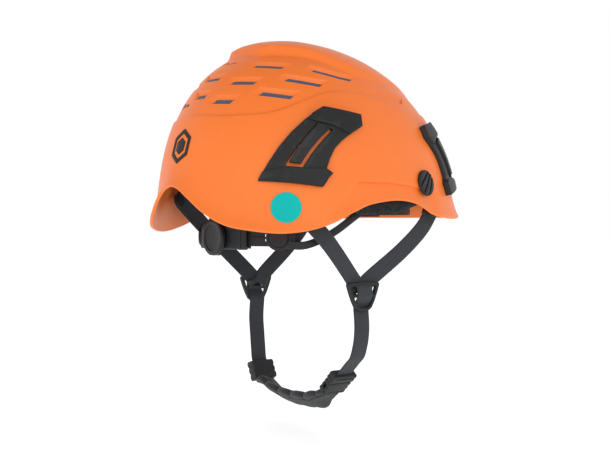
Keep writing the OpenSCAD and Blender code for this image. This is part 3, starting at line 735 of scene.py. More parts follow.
def slot_bar(v, skew):
    """Cutter for the open slot at the bottom of a recess."""
    at, length = vent_stations(v)
    steps, rings = 9, []
    for i in range(steps + 1):
        s = i / steps
        row = []
        for w, h in ((-SLOT_H / 2, 1), (SLOT_H / 2, 1), (SLOT_H / 2, -8), (-SLOT_H / 2, -8)):
            shift = skew * (w + SLOT_H / 2) / SLOT_H
            row.append(at(1.2 + shift + (length - 1.8) * s, w, h))
        rings.append(row)
    pts = np.array(rings).reshape(-1, 3)
    last = 4 * steps
    return pts, ring_faces(len(rings), 4) + [(3, 2, 1, 0), (last, last + 1, last + 2, last + 3)]


def closed_mesh(name, verts, faces, mat, smooth=False):
    obj = new_object(name, verts, faces, mat, smooth)
    bm = bmesh.new()
    bm.from_mesh(obj.data)
    bmesh.ops.recalc_face_normals(bm, faces=bm.faces)
    bm.to_mesh(obj.data)
    bm.free()
    return obj


def union_mesh(name, parts, mat):
    """One object from closed parts that don't meet each other."""
    return closed_mesh(name, *joined(parts), mat)


PLUG_A, PLUG_Z, PLUG_HOLE = -67, 29, 11


def shell_frame(a, z):
    """Columns along, up and out of the shell at a point, and the point."""
    n = shell_normal(a, z)
    u = unit(np.cross([0, 0, 1], n))
    return u, np.cross(n, u), n, shell_pt(a, z, crest=False)


def tube(points, radius_at, sides=24):
    """Closed tube through points with their own radii; returns points and faces."""
    p = np.asarray(points, float)
    run = unit(np.gradient(p, axis=0))
    side = unit(np.cross(run, [0.3, 0.2, 0.93]))
    up = np.cross(run, side)
    t = np.arange(sides) * 2 * np.pi / sides
    rings = [p[i] + radius_at[i] * (np.cos(t)[:, None] * side[i] + np.sin(t)[:, None] * up[i])
             for i in range(len(p))]
    n = len(p)
    faces = ring_faces(n, sides) + [tuple(range(sides))[::-1],
                                    tuple(range((n - 1) * sides, n * sides))]
    return np.array(rings).reshape(-1, 3), faces


def build_shell():
    shell = dome_shell("shell_skin", 0, -WALL, RIM, 480, ORANGE, seam_rows=(56, 84), panel=True)
    wedges, slots = [], []
    for v in VENTS_SIDE:
        wedges.append((wedge(v, 7.2, 3.2, -5.0, 1.0, 8.0, 3.4, SLOT_H / 2), True))
        slots.append((slot_bar(v, 3.4), True))
    for v in VENTS_REAR:
        wedges.append((wedge(v, 7.2, 3.2, -1.0, -4.0, 4.0, 0.0, SLOT_H / 2), False))
        slots.append((slot_bar(v, 0.0), False))
    wedges.append((wedge(SCOOP, 6.0, 1.9, -3, 2, 5, 1.5, 1.0), True))
    for group in (wedges, slots):
        parts = []
        for (pts, faces), twice in group:
            parts.append((pts, faces))
            if twice:
                parts.append((mirrored(pts, LEFT), [f[::-1] for f in faces]))
        carve(shell, union_mesh("cutter", parts, ORANGE))
    _, _, n, p = shell_frame(PLUG_A, PLUG_Z)
    hole = tube([p - 8 * n, p + 8 * n], [PLUG_HOLE / 2] * 2)
    carve(shell, union_mesh("cutter", [hole, (mirrored(hole[0], LEFT), [f[::-1] for f in hole[1]])],
                            ORANGE))
    smooth_by_angle(shell, 32)
    place(shell, "shell", "shell_orange", "outer_shell")


def build_vent_nets():
    """Mesh inserts set just below the surface in every slot."""
    parts = []
    for v, skew, twice in [(v, 3.4, True) for v in VENTS_SIDE] + [(v, 0.0, False) for v in VENTS_REAR]:
        at, length = vent_stations(v)
        rings = []
        for i in range(11):
            row = []
            for w, h in ((-0.55, -1.0), (0.55, -1.0), (0.55, -1.7), (-0.55, -1.7)):
                shift = skew * (w + 0.5)
                row.append(at(1.0 + shift + (length - 1.4) * i / 10, w * SLOT_H, h))
            rings.append(row)
        pts = np.array(rings).reshape(-1, 3)
        faces = ring_faces(11, 4) + [(3, 2, 1, 0), (40, 41, 42, 43)]
        parts.append((pts, faces))
        if twice:
            parts.append((mirrored(pts, LEFT), [f[::-1] for f in faces]))
    place(union_mesh("vent_inserts", parts, MESH), "shell", "vent_mesh")


# ------------------------------------------------------------------ pieces that follow the shell
def plan_angle_table():
    a = np.linspace(-180, 180, 3601)
    p = shell_pt(a, 40, crest=False, seam=False)
    return a, np.unwrap(np.arctan2(p[:, 0], -p[:, 1]))


ANGLES, BEARINGS = plan_angle_table()


def base_bvh():
    a = np.arange(0, 360, 1.5)
    z = np.linspace(-14, 140, 100)
    pts = shell_pt(a[None, :], np.maximum(z[:, None], keyed(fold(a), RIM)[None, :]), crest=False,
                   seam=False)
    faces = ring_faces(len(z), len(a))
    return BVHTree.FromPolygons([Vector(p) for p in pts.reshape(-1, 3)], faces)


BASE = base_bvh()


def onto_shell(centre, uvh):
    """Flat points (along, up, height) round a centre (angle, height), laid on the shell."""
    u, v, n, p = shell_frame(*centre)
    out = []
    for a, b, h in uvh:
        start = p + a * u + b * v + 40 * n
        hit = BASE.ray_cast(Vector(start), Vector(-n))[0]
        q = np.array(hit if hit is not None else start - 40 * n)
        bearing = np.interp(np.arctan2(q[0], -q[1]), BEARINGS, ANGLES)
        out.append(q + shell_normal(bearing, q[2]) * h)
    return np.array(out)


def tapered(points, start, reach, keep):
    """Thins a clip towards its rear lower tip, so that the tip lies close to the shell."""
    p = np.array(points, float)
    thin = 1 - (1 - keep) * ease((start - p[:, 0] * np.sign(reach)) / abs(reach))
    p[:, 2] *= thin
    return p


def rounded(outline, radius, steps=4):
    """Outline with its corners rounded."""
    p = np.asarray(outline, float)
    out = []
    for i in range(len(p)):
        a, b, c = p[i - 1], p[i], p[(i + 1) % len(p)]
        e, f = unit(a - b), unit(c - b)
        half = math.acos(np.clip(e @ f, -1, 1)) / 2
        cut = min(radius / max(math.tan(half), 0.15), 0.45 * np.linalg.norm(a - b),
                  0.45 * np.linalg.norm(c - b))
        s, t = b + e * cut, b + f * cut
        out += [(1 - k) ** 2 * s + 2 * k * (1 - k) * b + k * k * t for k in np.linspace(0, 1, steps)]
    return np.array(out)


def offset_ring(ring, d):
    """Closed outline moved inward by d (outward where d is below 0)."""
    p = np.asarray(ring, float)
    area = 0.5 * np.sum(p[:, 0] * np.roll(p[:, 1], -1) - p[:, 1] * np.roll(p[:, 0], -1))
    nxt, prv = unit(np.roll(p, -1, 0) - p), unit(p - np.roll(p, 1, 0))
    n1 = np.stack([-prv[:, 1], prv[:, 0]], -1)
    n2 = np.stack([-nxt[:, 1], nxt[:, 0]], -1)
    m = n1 + n2
    m = m / np.maximum(np.sum(m * n1, -1, keepdims=True), 0.35)
    return p + m * d * (1 if area > 0 else -1)


def slab(outlines, low, high, edge=0.7, grid=4.0):
    """Plate from an outline and its holes, with rounded upper edges, cut into a fine grid.
    Returns flat points (x, y, height) and faces."""
    bm = bmesh.new()
    top_edges, low_edges = [], []
    for i, outline in enumerate(outlines):
        sign = 1 if i == 0 else -1
        levels = [(0, low), (0, high - edge), (0.3 * edge, high - 0.3 * edge), (edge, high)]
        rings = []
        for inset, z in levels:
            ring = offset_ring(outline, inset * sign)
            rings.append([bm.verts.new((x, y, z)) for x, y in ring])
        n = len(outline)
        for lower, upper in zip(rings, rings[1:]):
            for j in range(n):
                k = (j + 1) % n
                bm.faces.new((lower[j], lower[k], upper[k], upper[j]))
        top_edges += [bm.edges.get((rings[-1][j], rings[-1][(j + 1) % n])) for j in range(n)]
        low_edges += [bm.edges.get((rings[0][j], rings[0][(j + 1) % n])) for j in range(n)]
    bmesh.ops.triangle_fill(bm, use_beauty=True, edges=top_edges)
    bmesh.ops.triangle_fill(bm, use_beauty=True, edges=low_edges)
    if grid:
        for axis in (0, 1):
            values = [v.co[axis] for v in bm.verts]
            lo, hi = min(values), max(values)
            for c in np.arange(lo + grid, hi - grid * 0.3, grid):
                at, normal = [0, 0, 0], [0, 0, 0]
                at[axis], normal[axis] = c, 1
                bmesh.ops.bisect_plane(bm, geom=bm.verts[:] + bm.edges[:] + bm.faces[:],
                                       plane_co=at, plane_no=normal, dist=0.02)
    bmesh.ops.recalc_face_normals(bm, faces=bm.faces)
    bm.verts.index_update()
    verts = np.array([v.co[:] for v in bm.verts])
    faces = [tuple(v.index for v in f.verts) for f in bm.faces]
    bm.free()
    return verts, faces


def on_shell_object(name, centre, slabs, mat, side, body, slot_name, *nodes):
    parts = [(mirrored(onto_shell(centre, v), side), f if side == RIGHT else [g[::-1] for g in f])
             for v, f in slabs]
    obj = new_object(name, *joined(parts), mat)
    smooth_by_angle(obj, 35)
    return place(obj, body, slot_name, *nodes)


REAR_CLIP, FRONT_CLIP = (-115, 55), (-46, 50)
CLIP_T = 5.5
REAR_OUTLINE = ((1.7, 27), (10.4, 32.8), (25.2, 31), (42.5, 29.3), (42.5, 19.2), (31.4, 11.4),
                (23.7, 5.3), (18, -0.7), (13.7, -8.5), (10.5, -17), (14.7, -20.8), (11, -24.9),
                (6.7, -31.4), (-42.2, -25), (-34.1, -11.3), (-25.9, 0.4), (-15.9, 11.8),
                (-4.8, 22))



def bowed(*points):
    """Six points on the smooth curve through three."""
    a, b, c = (np.array(p, float) for p in points)
    return [(1 - t) * (1 - 2 * t) * a + 4 * t * (1 - t) * b + t * (2 * t - 1) * c
            for t in np.linspace(0, 1, 6)]


REAR_WINDOW = (bowed((4.5, 18.3), (-10.6, 1.4), (-22, -14.7))
               + bowed((-8.3, -16.4), (2.6, -1.2), (17.1, 14.4)))
REAR_TONGUE = (bowed((5.3, 18.8), (-8.6, 2.7), (-18.9, -12.4))
               + bowed((-9.9, -13.9), (0.6, 0.6), (14.7, 14.9)))
REAR_TOP = ((1.7, 27), (10.4, 32.8), (25.2, 31), (42.5, 29.3), (42.5, 19.2), (31.2, 11.8),
            (16.8, 17.7), (4.5, 19.8), (-2.5, 22.5))
REAR_BAR = ((-8.3, -17.4), (10.5, -17.8), (14.7, -20.8), (11, -24.9), (6.7, -31.4), (-42.2, -25),
            (-38.4, -18), (-22, -16))
FRONT_LEAN, FRONT_SHIFT = -0.62, -3.0


def front_form(points):
    """The rear clip's outline turned and narrowed into the front clip's."""
    p = np.array(points, float)
    return np.stack([p[:, 0] * FRONT_LEAN + FRONT_SHIFT, p[:, 1]], -1)[::-1]


def build_clips():
    for where, centre, form in (("rear", REAR_CLIP, lambda p: np.array(p, float)),
                                ("front", FRONT_CLIP, front_form)):
        outline, window = rounded(form(REAR_OUTLINE), 0.7), rounded(form(REAR_WINDOW), 0.5)
        frame_plate = slab([outline, window], 0.1, CLIP_T - 2.0, 0.8, 2.4)
        top = slab([rounded(form(REAR_TOP), 0.6)], 0.3, CLIP_T, 0.7)
        bar = slab([rounded(form(REAR_BAR), 0.6)], 0.3, CLIP_T, 0.7)
        tongue = slab([rounded(form(REAR_TONGUE), 0.4)], 2.0, CLIP_T, 0.5, 3.0)
        if where == "rear":
            frame_plate = (tapered(frame_plate[0], -16, 26, 0.5), frame_plate[1])
            bar = (tapered(bar[0], -16, 26, 0.5), bar[1])
        for side, name in SIDES:
            on_shell_object(f"clip_body_{where}_{name}", centre, [frame_plate, top, bar], BLACK, side,
                            "shell", "plastic_black", f"clip_frame_{where}_{name}")
            on_shell_object(f"clip_latch_{where}_{name}", centre, [tongue], BLACK_SMOOTH, side,
                            f"tongue_{where}_{name}", "plastic_black", f"clip_tongue_{where}_{name}")


def circle(radius, count=64, centre=(0, 0)):
    t = np.arange(count) * 2 * np.pi / count
    return np.stack([centre[0] + radius * np.cos(t), centre[1] + radius * np.sin(t)], -1)


def hexagon(width, tall=1.15):
    t = np.radians(30 + 60 * np.arange(6))
    return np.stack([width / 2 * np.cos(t), tall * width / 2 * np.sin(t)], -1)


def build_marks():
    disc = slab([circle(12)], 0.05, 0.8, 0.3)
    on_shell_object("teal_disc", (-126, 8), [disc], TEAL, RIGHT, "shell", "disc_teal", "id_disc")
    width, bar = 26, 3.4
    ring = slab([rounded(hexagon(width), 1.2), rounded(hexagon(width - 2 * bar), 0.8)], 0.05, 0.8, 0.3)
    core = slab([rounded(hexagon(width - 4 * bar), 0.8)], 0.05, 0.8, 0.3)
    on_shell_object("hex_emblem", (180, 58), [ring, core], BLACK, RIGHT, "shell", "plastic_black",
                    "rear_emblem")
    for side, name in SIDES:
        u, v, n, p = shell_frame(PLUG_A, PLUG_Z)
        profile = ((0, -4), (5.2, -4), (5.2, 0.1), (10.4, 0.1), (10.9, 0.5), (10.9, 1.8), (10.6, 2.5),
                   (9.8, 3.0), (5, 3.3), (0, 3.4))
        pts, faces = lathe(profile, 64)
        plug = closed_mesh(f"socket_plug_{name}", pts, faces, BLACK)
        grooves = []
        for offset, tilt in ((-5.2, 62), (0, 52), (5.2, 42)):
            c, s = math.cos(math.radians(tilt)), math.sin(math.radians(tilt))
            box = np.array([[x, y + offset, z] for z in (1.9, 6) for x, y in
                            ((-14, -1.0), (14, -1.0), (14, 1.0), (-14, 1.0))])
            box[:, :2] = box[:, :2] @ np.array([[c, s], [-s, c]])
            grooves.append((box, [(3, 2, 1, 0), (4, 5, 6, 7), (0, 1, 5, 4), (1, 2, 6, 5), (2, 3, 7, 6),
                                  (3, 0, 4, 7)]))
        for groove in grooves:
            carve(plug, closed_mesh("cutter", *groove, BLACK))
        basis = np.array([u, v, n])
        pts = np.array([vert.co[:] for vert in plug.data.vertices]) / MM
        pts = mirrored(p + pts @ basis, side)
        for vert, q in zip(plug.data.vertices, pts):
            vert.co = q * MM
        if side == LEFT:
            plug.data.flip_normals()
        bevelled(plug, 0.25, 2, 40)
        place(plug, "shell", "plastic_black", f"accessory_plug_{name}")


def lathe(profile, count):
    """Closed solid turned about z from (radius, height) points; ends at radius 0 close to a point."""
    t = np.arange(count) * 2 * np.pi / count
    rows = [(r, z) for r, z in profile if r > 0]
    pts = [[r * math.cos(x), r * math.sin(x), z] for r, z in rows for x in t]
    faces = ring_faces(len(rows), count)
    pts.append([0, 0, profile[0][1]])
    pts.append([0, 0, profile[-1][1]])
    n = len(rows) * count
    for j in range(count):
        k = (j + 1) % count
        faces.append((n, k, j))
        faces.append((n - count + j, n - count + k, n + 1))
    return np.array(pts), faces


# ------------------------------------------------------------------ liner, mesh and pads
LINER = ((0, 14), (50, 16), (70, 8), (82, 2), (90, 3), (105, 12), (125, 26), (150, 34), (180, 38))
LINER_OUT, LINER_IN = -5, -21


def build_inside():
    liner = dome_shell("foam_liner", LINER_OUT, LINER_IN, LINER, 192, FOAM, 44, crest=False, seam=False)
    place(liner, "shell", "liner_foam", "impact_liner")
    net = dome_shell("vent_net", -WALL - 0.7, -WALL - 1.3, ((0, 88), (180, 87)), 192, MESH, 30,
                     crest=False)
    place(net, "shell", "vent_mesh", "vent_mesh")


# ------------------------------------------------------------------ webbing
WEB_W, WEB_T = 15, 1.5
DIV_X, DIV_Y = 76.5, -17


def webbing(name, points, wide, side, width=WEB_W, steps=10, thick=WEB_T):
    """Flat strap with rounded edges along right-hand points; UVs are in millimetres."""
    path = mirrored(smooth_path(points, steps), side)
    ways = mirrored(smooth_path(wide, steps), side)
    run = unit(np.gradient(path, axis=0))
    across = unit(ways - run * np.sum(ways * run, -1, keepdims=True))
    out = np.cross(run, across)
    half, r = width / 2, thick / 2
    section = [(-half + r - r * math.sin(t), r * math.cos(t)) for t in np.linspace(0, math.pi, 5)]
    flat = [(x, -r) for x in np.linspace(-half + r, half - r, 9)[1:-1]]
    section += flat + [(-x, -y) for x, y in section] + [(-x, -y) for x, y in flat]
    section = np.array(section)
    n, m = len(path), len(section)
    rings = (path[:, None, :] + across[:, None, :] * section[None, :, :1]
             + out[:, None, :] * section[None, :, 1:])
    faces = ring_faces(n, m) + [tuple(range(m))[::-1], tuple(range((n - 1) * m, n * m))]
    obj = closed_mesh(name, rings.reshape(-1, 3), faces, WEBBING, True)
    along = np.concatenate([[0], np.cumsum(np.linalg.norm(np.diff(path, axis=0), axis=1))])
    layer = obj.data.uv_layers.new(name="weave")
    for loop in obj.data.loops:
        i, j = divmod(loop.vertex_index, m)
        layer.data[loop.index].uv = (section[j][0] + half, along[i])
    smooth_by_angle(obj, 60)
    return obj


REAR_TOP_PT, REAR_DIR = (-78.9, 60.3, 15.9), (0.05, 0.45, 0.9)
FRONT_TOP_PT, FRONT_DIR = (-84.7, -84.0, 3.0), (0, -0.35, 0.94)


def build_straps():
    inner = -DIV_X + 2.6
    for side, name in SIDES:
        top = np.array(REAR_TOP_PT)
        way = np.array(REAR_DIR)
        rear = [top + 4 * way, top - 4 * way, (-DIV_X - 4.4, 25, -18), (inner - 0.4, -8.5, -51),
                (inner, -13.2, -57), (inner + 0.2, -15.2, -60)]
        wide = [(0, 0.9, -0.45), (0, 0.9, -0.45), (0, 0.7, -0.7), (0, 0.6, -0.8), (0, 0.6, -0.8),
                (0, 0.6, -0.8)]
        obj = webbing(f"web_rear_{name}", rear, wide, side)
        place(obj, "shell", "webbing", f"strap_rear_{name}")
        top, way = np.array(FRONT_TOP_PT), np.array(FRONT_DIR)
        front = [top + 5 * way, top - 3 * way, (-DIV_X - 6.4, -74, -12), (-DIV_X - 3.2, -55, -29),
                 (inner - 0.6, -25.5, -51), (inner + 0.9, -20.6, -57), (inner + 1.5, -18.6, -60)]
        wide = [(0, 0.94, 0.35), (0, 0.9, 0.4), (0, 0.8, 0.55), (0, 0.7, 0.7), (0, 0.6, 0.8),
                (0, 0.6, 0.8), (0, 0.6, 0.8)]
        obj = webbing(f"web_front_{name}", front, wide, side)
        place(obj, "shell", "webbing", f"strap_front_{name}")


def build_dividers():
    """Shield-shaped strap dividers: arched top bar, middle bar and a rounded lower lip."""
    outline = [(-17, -55.2), (-16.5, -53.6), (-8, -52.9), (0, -52.6), (8, -52.9), (16.5, -53.6), (17, -55.2),
               (14.6, -62), (11.6, -69), (8.6, -74.2), (5.5, -76.4), (0, -77), (-5.5, -76.4),
               (-8.6, -74.2), (-11.6, -69), (-14.6, -62)]
    upper = [(-13.4, -56.4), (0, -55.8), (13.4, -56.4), (11.4, -62.6), (-11.4, -62.6)]
    lower = [(-10.2, -65.4), (10.2, -65.4), (7.6, -71.6), (4.4, -73.8), (0, -74.2), (-4.4, -73.8),
             (-7.6, -71.6)]
    for side, name in SIDES:
        verts, faces = slab([rounded(outline, 1.0, 3), rounded(upper, 1.0), rounded(lower, 1.0)], -1.7,
                            1.7, 0.9, None)
        pts = np.stack([-DIV_X - verts[:, 2], DIV_Y - verts[:, 0], verts[:, 1]], -1)
        obj = closed_mesh(f"divider_shield_{name}", mirrored(pts, side), faces, BLACK)
        smooth_by_angle(obj, 40)
        place(obj, "shell", "plastic_black", f"divider_{name}")


BUCKLE_TILT, BUCKLE_AT, CHIN_Y = 42, (-57, -126.5), -17
BUCKLE_W, BUCKLE_T = 24, 8
LEFT_AT, LEFT_TILT = (66, -139.5), 65
MALE_S, MALE_L, FEMALE_L = 6, 9, 15


def on_line(s, y=CHIN_Y, lift=0.0):
    c, n = math.cos(math.radians(BUCKLE_TILT)), math.sin(math.radians(BUCKLE_TILT))
    return np.array([BUCKLE_AT[0] + s * c - lift * n, y, BUCKLE_AT[1] - s * n - lift * c])


def on_left(s, y=CHIN_Y, lift=0.0):
    c, n = math.cos(math.radians(LEFT_TILT)), math.sin(math.radians(LEFT_TILT))
    return np.array([LEFT_AT[0] + s * c + lift * n, y, LEFT_AT[1] + s * n - lift * c])


def build_chin_webs():
    """The chin webbing climbs behind each divider's lip, over its middle bar, and hangs from it."""
    wide = (0, 1, 0)
    inner, outer = -DIV_X + 2.7, -DIV_X - 2.4
    top = [(inner - 2.0, DIV_Y, -56.8), (outer + 0.8, DIV_Y, -56.2), (outer, DIV_Y, -58.8),
           (outer, DIV_Y, -64.6), (outer + 1.7, DIV_Y, -67.6), (inner - 0.6, DIV_Y, -71.2),
           (inner, DIV_Y, -74.6), (inner - 0.6, DIV_Y, -80)]
    right = top + [(-DIV_X + 1.4, DIV_Y, -90), (-DIV_X + 2.1, DIV_Y, -99), (-DIV_X + 4.1, DIV_Y, -107.5),
                   on_line(-16), on_line(-8), on_line(2), on_line(MALE_S + 6)]
    obj = webbing("chin_webbing_right", right, [wide] * len(right), RIGHT, 16)
    place(obj, None, "webbing", "chin_web_right")
    left = top + [(-75.2, DIV_Y, -92), (-73.8, DIV_Y, -106), (-72.2, DIV_Y, -120),
                  on_left(12) * [-1, 1, 1], on_left(4) * [-1, 1, 1]]
    obj = webbing("chin_webbing_left", left, [wide] * len(left), LEFT, 16)
    place(obj, None, "webbing", "chin_web_left")
    start, end = (0, DIV_Y * MM, -0.079), (0, DIV_Y * MM, -0.092)
    for name in ("chin_webbing_right", "chin_webbing_left"):
        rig.blend(bpy.data.objects[name], "shell", "chin", start, end)


# ------------------------------------------------------------------ chin pad and buckles
PAD_PATH = [on_line(MALE_S + MALE_L + FEMALE_L - 2), on_line(MALE_S + MALE_L + FEMALE_L + 2) + [0.5, 0, 0],
            (-16, DIV_Y, -156.8), (-4, DIV_Y, -158.3), (8, DIV_Y, -158.8), (20, DIV_Y, -158.6),
            (32, DIV_Y, -157.3), (44, DIV_Y, -154.8), (53, DIV_Y, -150.8), on_left(-9), on_left(-5)]
PAD_TILT = 30


def build_chin_pad():
    """Soft scalloped sleeve under the chin with the webbing's flat band along its outer face."""
    path = smooth_path(PAD_PATH, 14)
    length = np.concatenate([[0], np.cumsum(np.linalg.norm(np.diff(path, axis=0), axis=1))])
    grid = np.arange(0, length[-1], 0.8)
    path = np.stack([np.interp(grid, length, path[:, k]) for k in range(3)], -1)
    run = unit(np.gradient(path, axis=0))
    total = grid[-1]
    ends = ease(grid / 24) * ease((total - grid) / 14)
    tilt = np.radians(PAD_TILT) * ends
    wide = np.stack([0 * tilt, np.cos(tilt), np.sin(tilt)], -1)
    out = unit(np.cross(wide, run))            # away from the chin
    pitch, rings, count = 18.5, [], 44
    for s, p, w, o, e in zip(grid, path, wide, out, ends):
        wave = abs(math.sin(math.pi * (s + 5) / pitch)) ** 0.6
        half_w = 9.2 + 0.8 * e + 3.4 * wave * e
        half_t = 2.9 + 0.8 * e + 0.5 * wave * e
        row = []
        for t in np.arange(count) * 2 * np.pi / count:
            c, n = math.cos(t), math.sin(t)
            y = half_w * np.sign(c) * abs(c) ** 0.75
            h = half_t * np.sign(n) * abs(n) ** 0.75
            h -= np.sign(n) * 0.9 * ease((8.2 - abs(y)) / 1.4) * e      # channel for the band
            row.append(p + w * y + o * h)
        rings.append(row)
    n = len(rings)
    faces = ring_faces(n, count) + [tuple(range(count))[::-1], tuple(range((n - 1) * count, n * count))]
    obj = closed_mesh("chin_cushion", np.array(rings).reshape(-1, 3), faces, CHIN, True)
    place(obj, "chin", "chin_pad_fabric", "chin_pad")
    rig.padded(obj, fill=0.7)
    for face, name in ((1, "outer"), (-1, "inner")):
        pick = slice(3, -3, 6)
        band = (path + out * 3.2 * face)[pick]
        strip = webbing(f"chin_band_{name}", band, wide[pick], RIGHT, 14.5, 4, 1.2)
        place(strip, "chin", "webbing")


def bumpy_block(name, along, length, width, thick, bumps, mat):
    """Buckle body with scalloped grip edges, along a line given by along(s, y, lift)."""
    half = width / 2
    outline = []
    count = bumps * 10
    for i in range(count + 1):
        s = length * i / count
        outline.append((s, half - 0.9 + 0.9 * abs(math.sin(math.pi * bumps * i / count))))
    for i in range(count, -1, -1):
        s = length * i / count
        outline.append((s, -half + 0.9 - 0.9 * abs(math.sin(math.pi * bumps * i / count))))
    verts, faces = slab([np.array(outline)], -thick / 2, thick / 2, 1.0, None)
    flat = verts.copy()
    low = flat[:, 2] <= -thick / 2 + 1e-6
    centre = np.array([length / 2, 0])
    flat[low, :2] = centre + (flat[low, :2] - centre) * [0.93, 0.95]
    pts = np.array([along(s, CHIN_Y + y, h) for s, y, h in flat])
    obj = closed_mesh(name, pts, faces, mat)
    smooth_by_angle(obj, 40)
    return obj


def block_box(along, s0, s1, y0, y1, h0, h1):
    pts = np.array([along(s, CHIN_Y + y, h) for h in (h0, h1) for s, y in
                    ((s0, y0), (s1, y0), (s1, y1), (s0, y1))])
    return pts, [(3, 2, 1, 0), (4, 5, 6, 7), (0, 1, 5, 4), (1, 2, 6, 5), (2, 3, 7, 6), (3, 0, 4, 7)]


def build_buckles():
    w, t = BUCKLE_W, BUCKLE_T
    start = MALE_S + MALE_L + 0.4
    female = bumpy_block("buckle_socket", lambda s, y, h: on_line(start + s, y, h), FEMALE_L, w, t, 3,
                         BLACK)
    carve(female, closed_mesh("cutter", *block_box(on_line, start - 1, start + FEMALE_L - 3, -w / 2 + 2.5,
                                                   w / 2 - 2.5, -t / 2 + 2, t / 2 - 2), BLACK))
    for y in (-1, 1):
        carve(female, closed_mesh("cutter", *block_box(on_line, start + 4, start + 10, y * (w / 2 + 3),
                                                       y * (w / 2 - 3.2), -t / 2 + 2.2, t / 2 - 2.2),
                                  BLACK))
    carve(female, closed_mesh("cutter", *block_box(on_line, start + 11.6, start + 12.3, -w / 2 - 1,
                                                   w / 2 + 1, t / 2 - 0.5, t / 2 + 1), BLACK))
    bevelled(female, 0.3, 2, 50)
    place(female, "chin", "plastic_black", "buckle_female")
    male = bumpy_block("buckle_tongue", lambda s, y, h: on_line(MALE_S + s, y, h), MALE_L, w + 1.5, t, 2,
                       BLACK)
    carve(male, closed_mesh("cutter", *block_box(on_line, MALE_S - 1, MALE_S + MALE_L - 1.5, -8.2, 8.2, -1.1,
                                                 1.1), BLACK))
    carve(male, closed_mesh("cutter", *block_box(on_line, MALE_S + 2.4, MALE_S + 4.0, -9, 9, 1.0, t), BLACK))
    prongs = []
    for y in (-1, 1):
        c = y * (w / 2 - 3.4)
        prongs.append(block_box(on_line, MALE_S + MALE_L - 0.5, MALE_S + MALE_L + 10, c - 0.6, c + 0.6,
                                -1.5, 1.5))
    for prong in prongs:
        carve(male, closed_mesh("cutter", *prong, BLACK), "UNION")
    bevelled(male, 0.3, 2, 50)
    place(male, "buckle_male", "plastic_black", "buckle_male")
    block = bumpy_block("chin_ladder_block", lambda s, y, h: on_left(s - 9, y, h), 18, w + 1, t, 3, BLACK)
    for s in (-2.4, 3.2):
        carve(block, closed_mesh("cutter", *block_box(on_left, s, s + 1.0, -w, w, t / 2 - 0.6, t), BLACK))
    carve(block, closed_mesh("cutter", *block_box(on_left, 3.5, 12, -8.2, 8.2, -1.1, 1.1), BLACK))
    bevelled(block, 0.3, 2, 50)
    place(block, "chin", "plastic_black", "chin_adjuster")


# ------------------------------------------------------------------ nape adjuster
RACK_CY, RACK_Z = -4, -16
HOUSING_OUT, CAVITY_OUT, CAVITY_IN = 81.0, 79.2, 74.5
PLATE_R, DISC_A, ARM_T = 79.6, 44, 1.8
HOUSING_A, HOUSING_H = 24, 18


def nape(a, r, z):
    """Point at an angle round the nape (degrees, positive to the right), radius and height."""
    t = np.radians(a)
    return np.stack([-r * np.sin(t), RACK_CY + r * np.cos(t), RACK_Z + np.asarray(z, float)], -1)


def bent(verts, r):
    """Flat points (arc length to the right, up, out) bent round the nape at radius r."""
    return nape(np.degrees(verts[:, 0] / r), r + verts[:, 2], verts[:, 1])


def bent_slab(outlines, low, high, r, edge=0.6, grid=3.0):
    verts, faces = slab(outlines, low, high, edge, grid)
    return bent(verts, r), faces


def rect(x0, x1, y0, y1):
    return [(x0, y0), (x1, y0), (x1, y1), (x0, y1)]


def radial_lathe(profile, a, r, z, count=72, wobble=None):
    """Lathe piece whose axis points outward at an angle round the nape."""
    pts, faces = lathe(profile, count)
    if wobble is not None:
        bearing = np.arctan2(pts[:, 1], pts[:, 0])
        radius = np.hypot(pts[:, 0], pts[:, 1])
        scale = 1 - wobble(bearing) * (radius > profile_max(profile) - 1.2) / np.maximum(radius, 1e-6)
        pts[:, :2] *= scale[:, None]
    t = math.radians(a)
    out = np.array([-math.sin(t), math.cos(t), 0])
    side = np.array([math.cos(t), math.sin(t), 0])
    base = nape(a, r, z)
    return base + pts[:, :1] * side + pts[:, 1:2] * np.array([0, 0, 1]) + pts[:, 2:] * out, faces


def profile_max(profile):
    return max(r for r, _ in profile)


def sweep(name, points, wide, width, thick, side, mat, steps=10, edge=0.5):
    """Plastic bar with a softened rectangular section; width may vary along the path."""
    path = mirrored(smooth_path(points, steps), side)
    ways = mirrored(smooth_path(wide, steps), side)
    wid = np.interp(np.linspace(0, 1, len(path)), np.linspace(0, 1, len(width)), width)
    run = unit(np.gradient(path, axis=0))
    across = unit(ways - run * np.sum(ways * run, -1, keepdims=True))
    out = np.cross(run, across)
    rings = []
    for p, a, o, w in zip(path, across, out, wid):
        h, t = w / 2, thick / 2
        row = []
        for sx, sy in ((1, 1), (-1, 1), (-1, -1), (1, -1)):
            corner = [(h, t - edge), (h - edge * 0.3, t - edge * 0.3), (h - edge, t)]
            if sx * sy < 0:
                corner = corner[::-1]
            row += [p + a * (sx * x) + o * (sy * y) for x, y in corner]
        rings.append(row)
    n, m = len(rings), 12
    faces = ring_faces(n, m) + [tuple(range(m))[::-1], tuple(range((n - 1) * m, n * m))]
    obj = closed_mesh(name, np.array(rings).reshape(-1, 3), faces, mat, True)
    smooth_by_angle(obj, 40)
    return obj


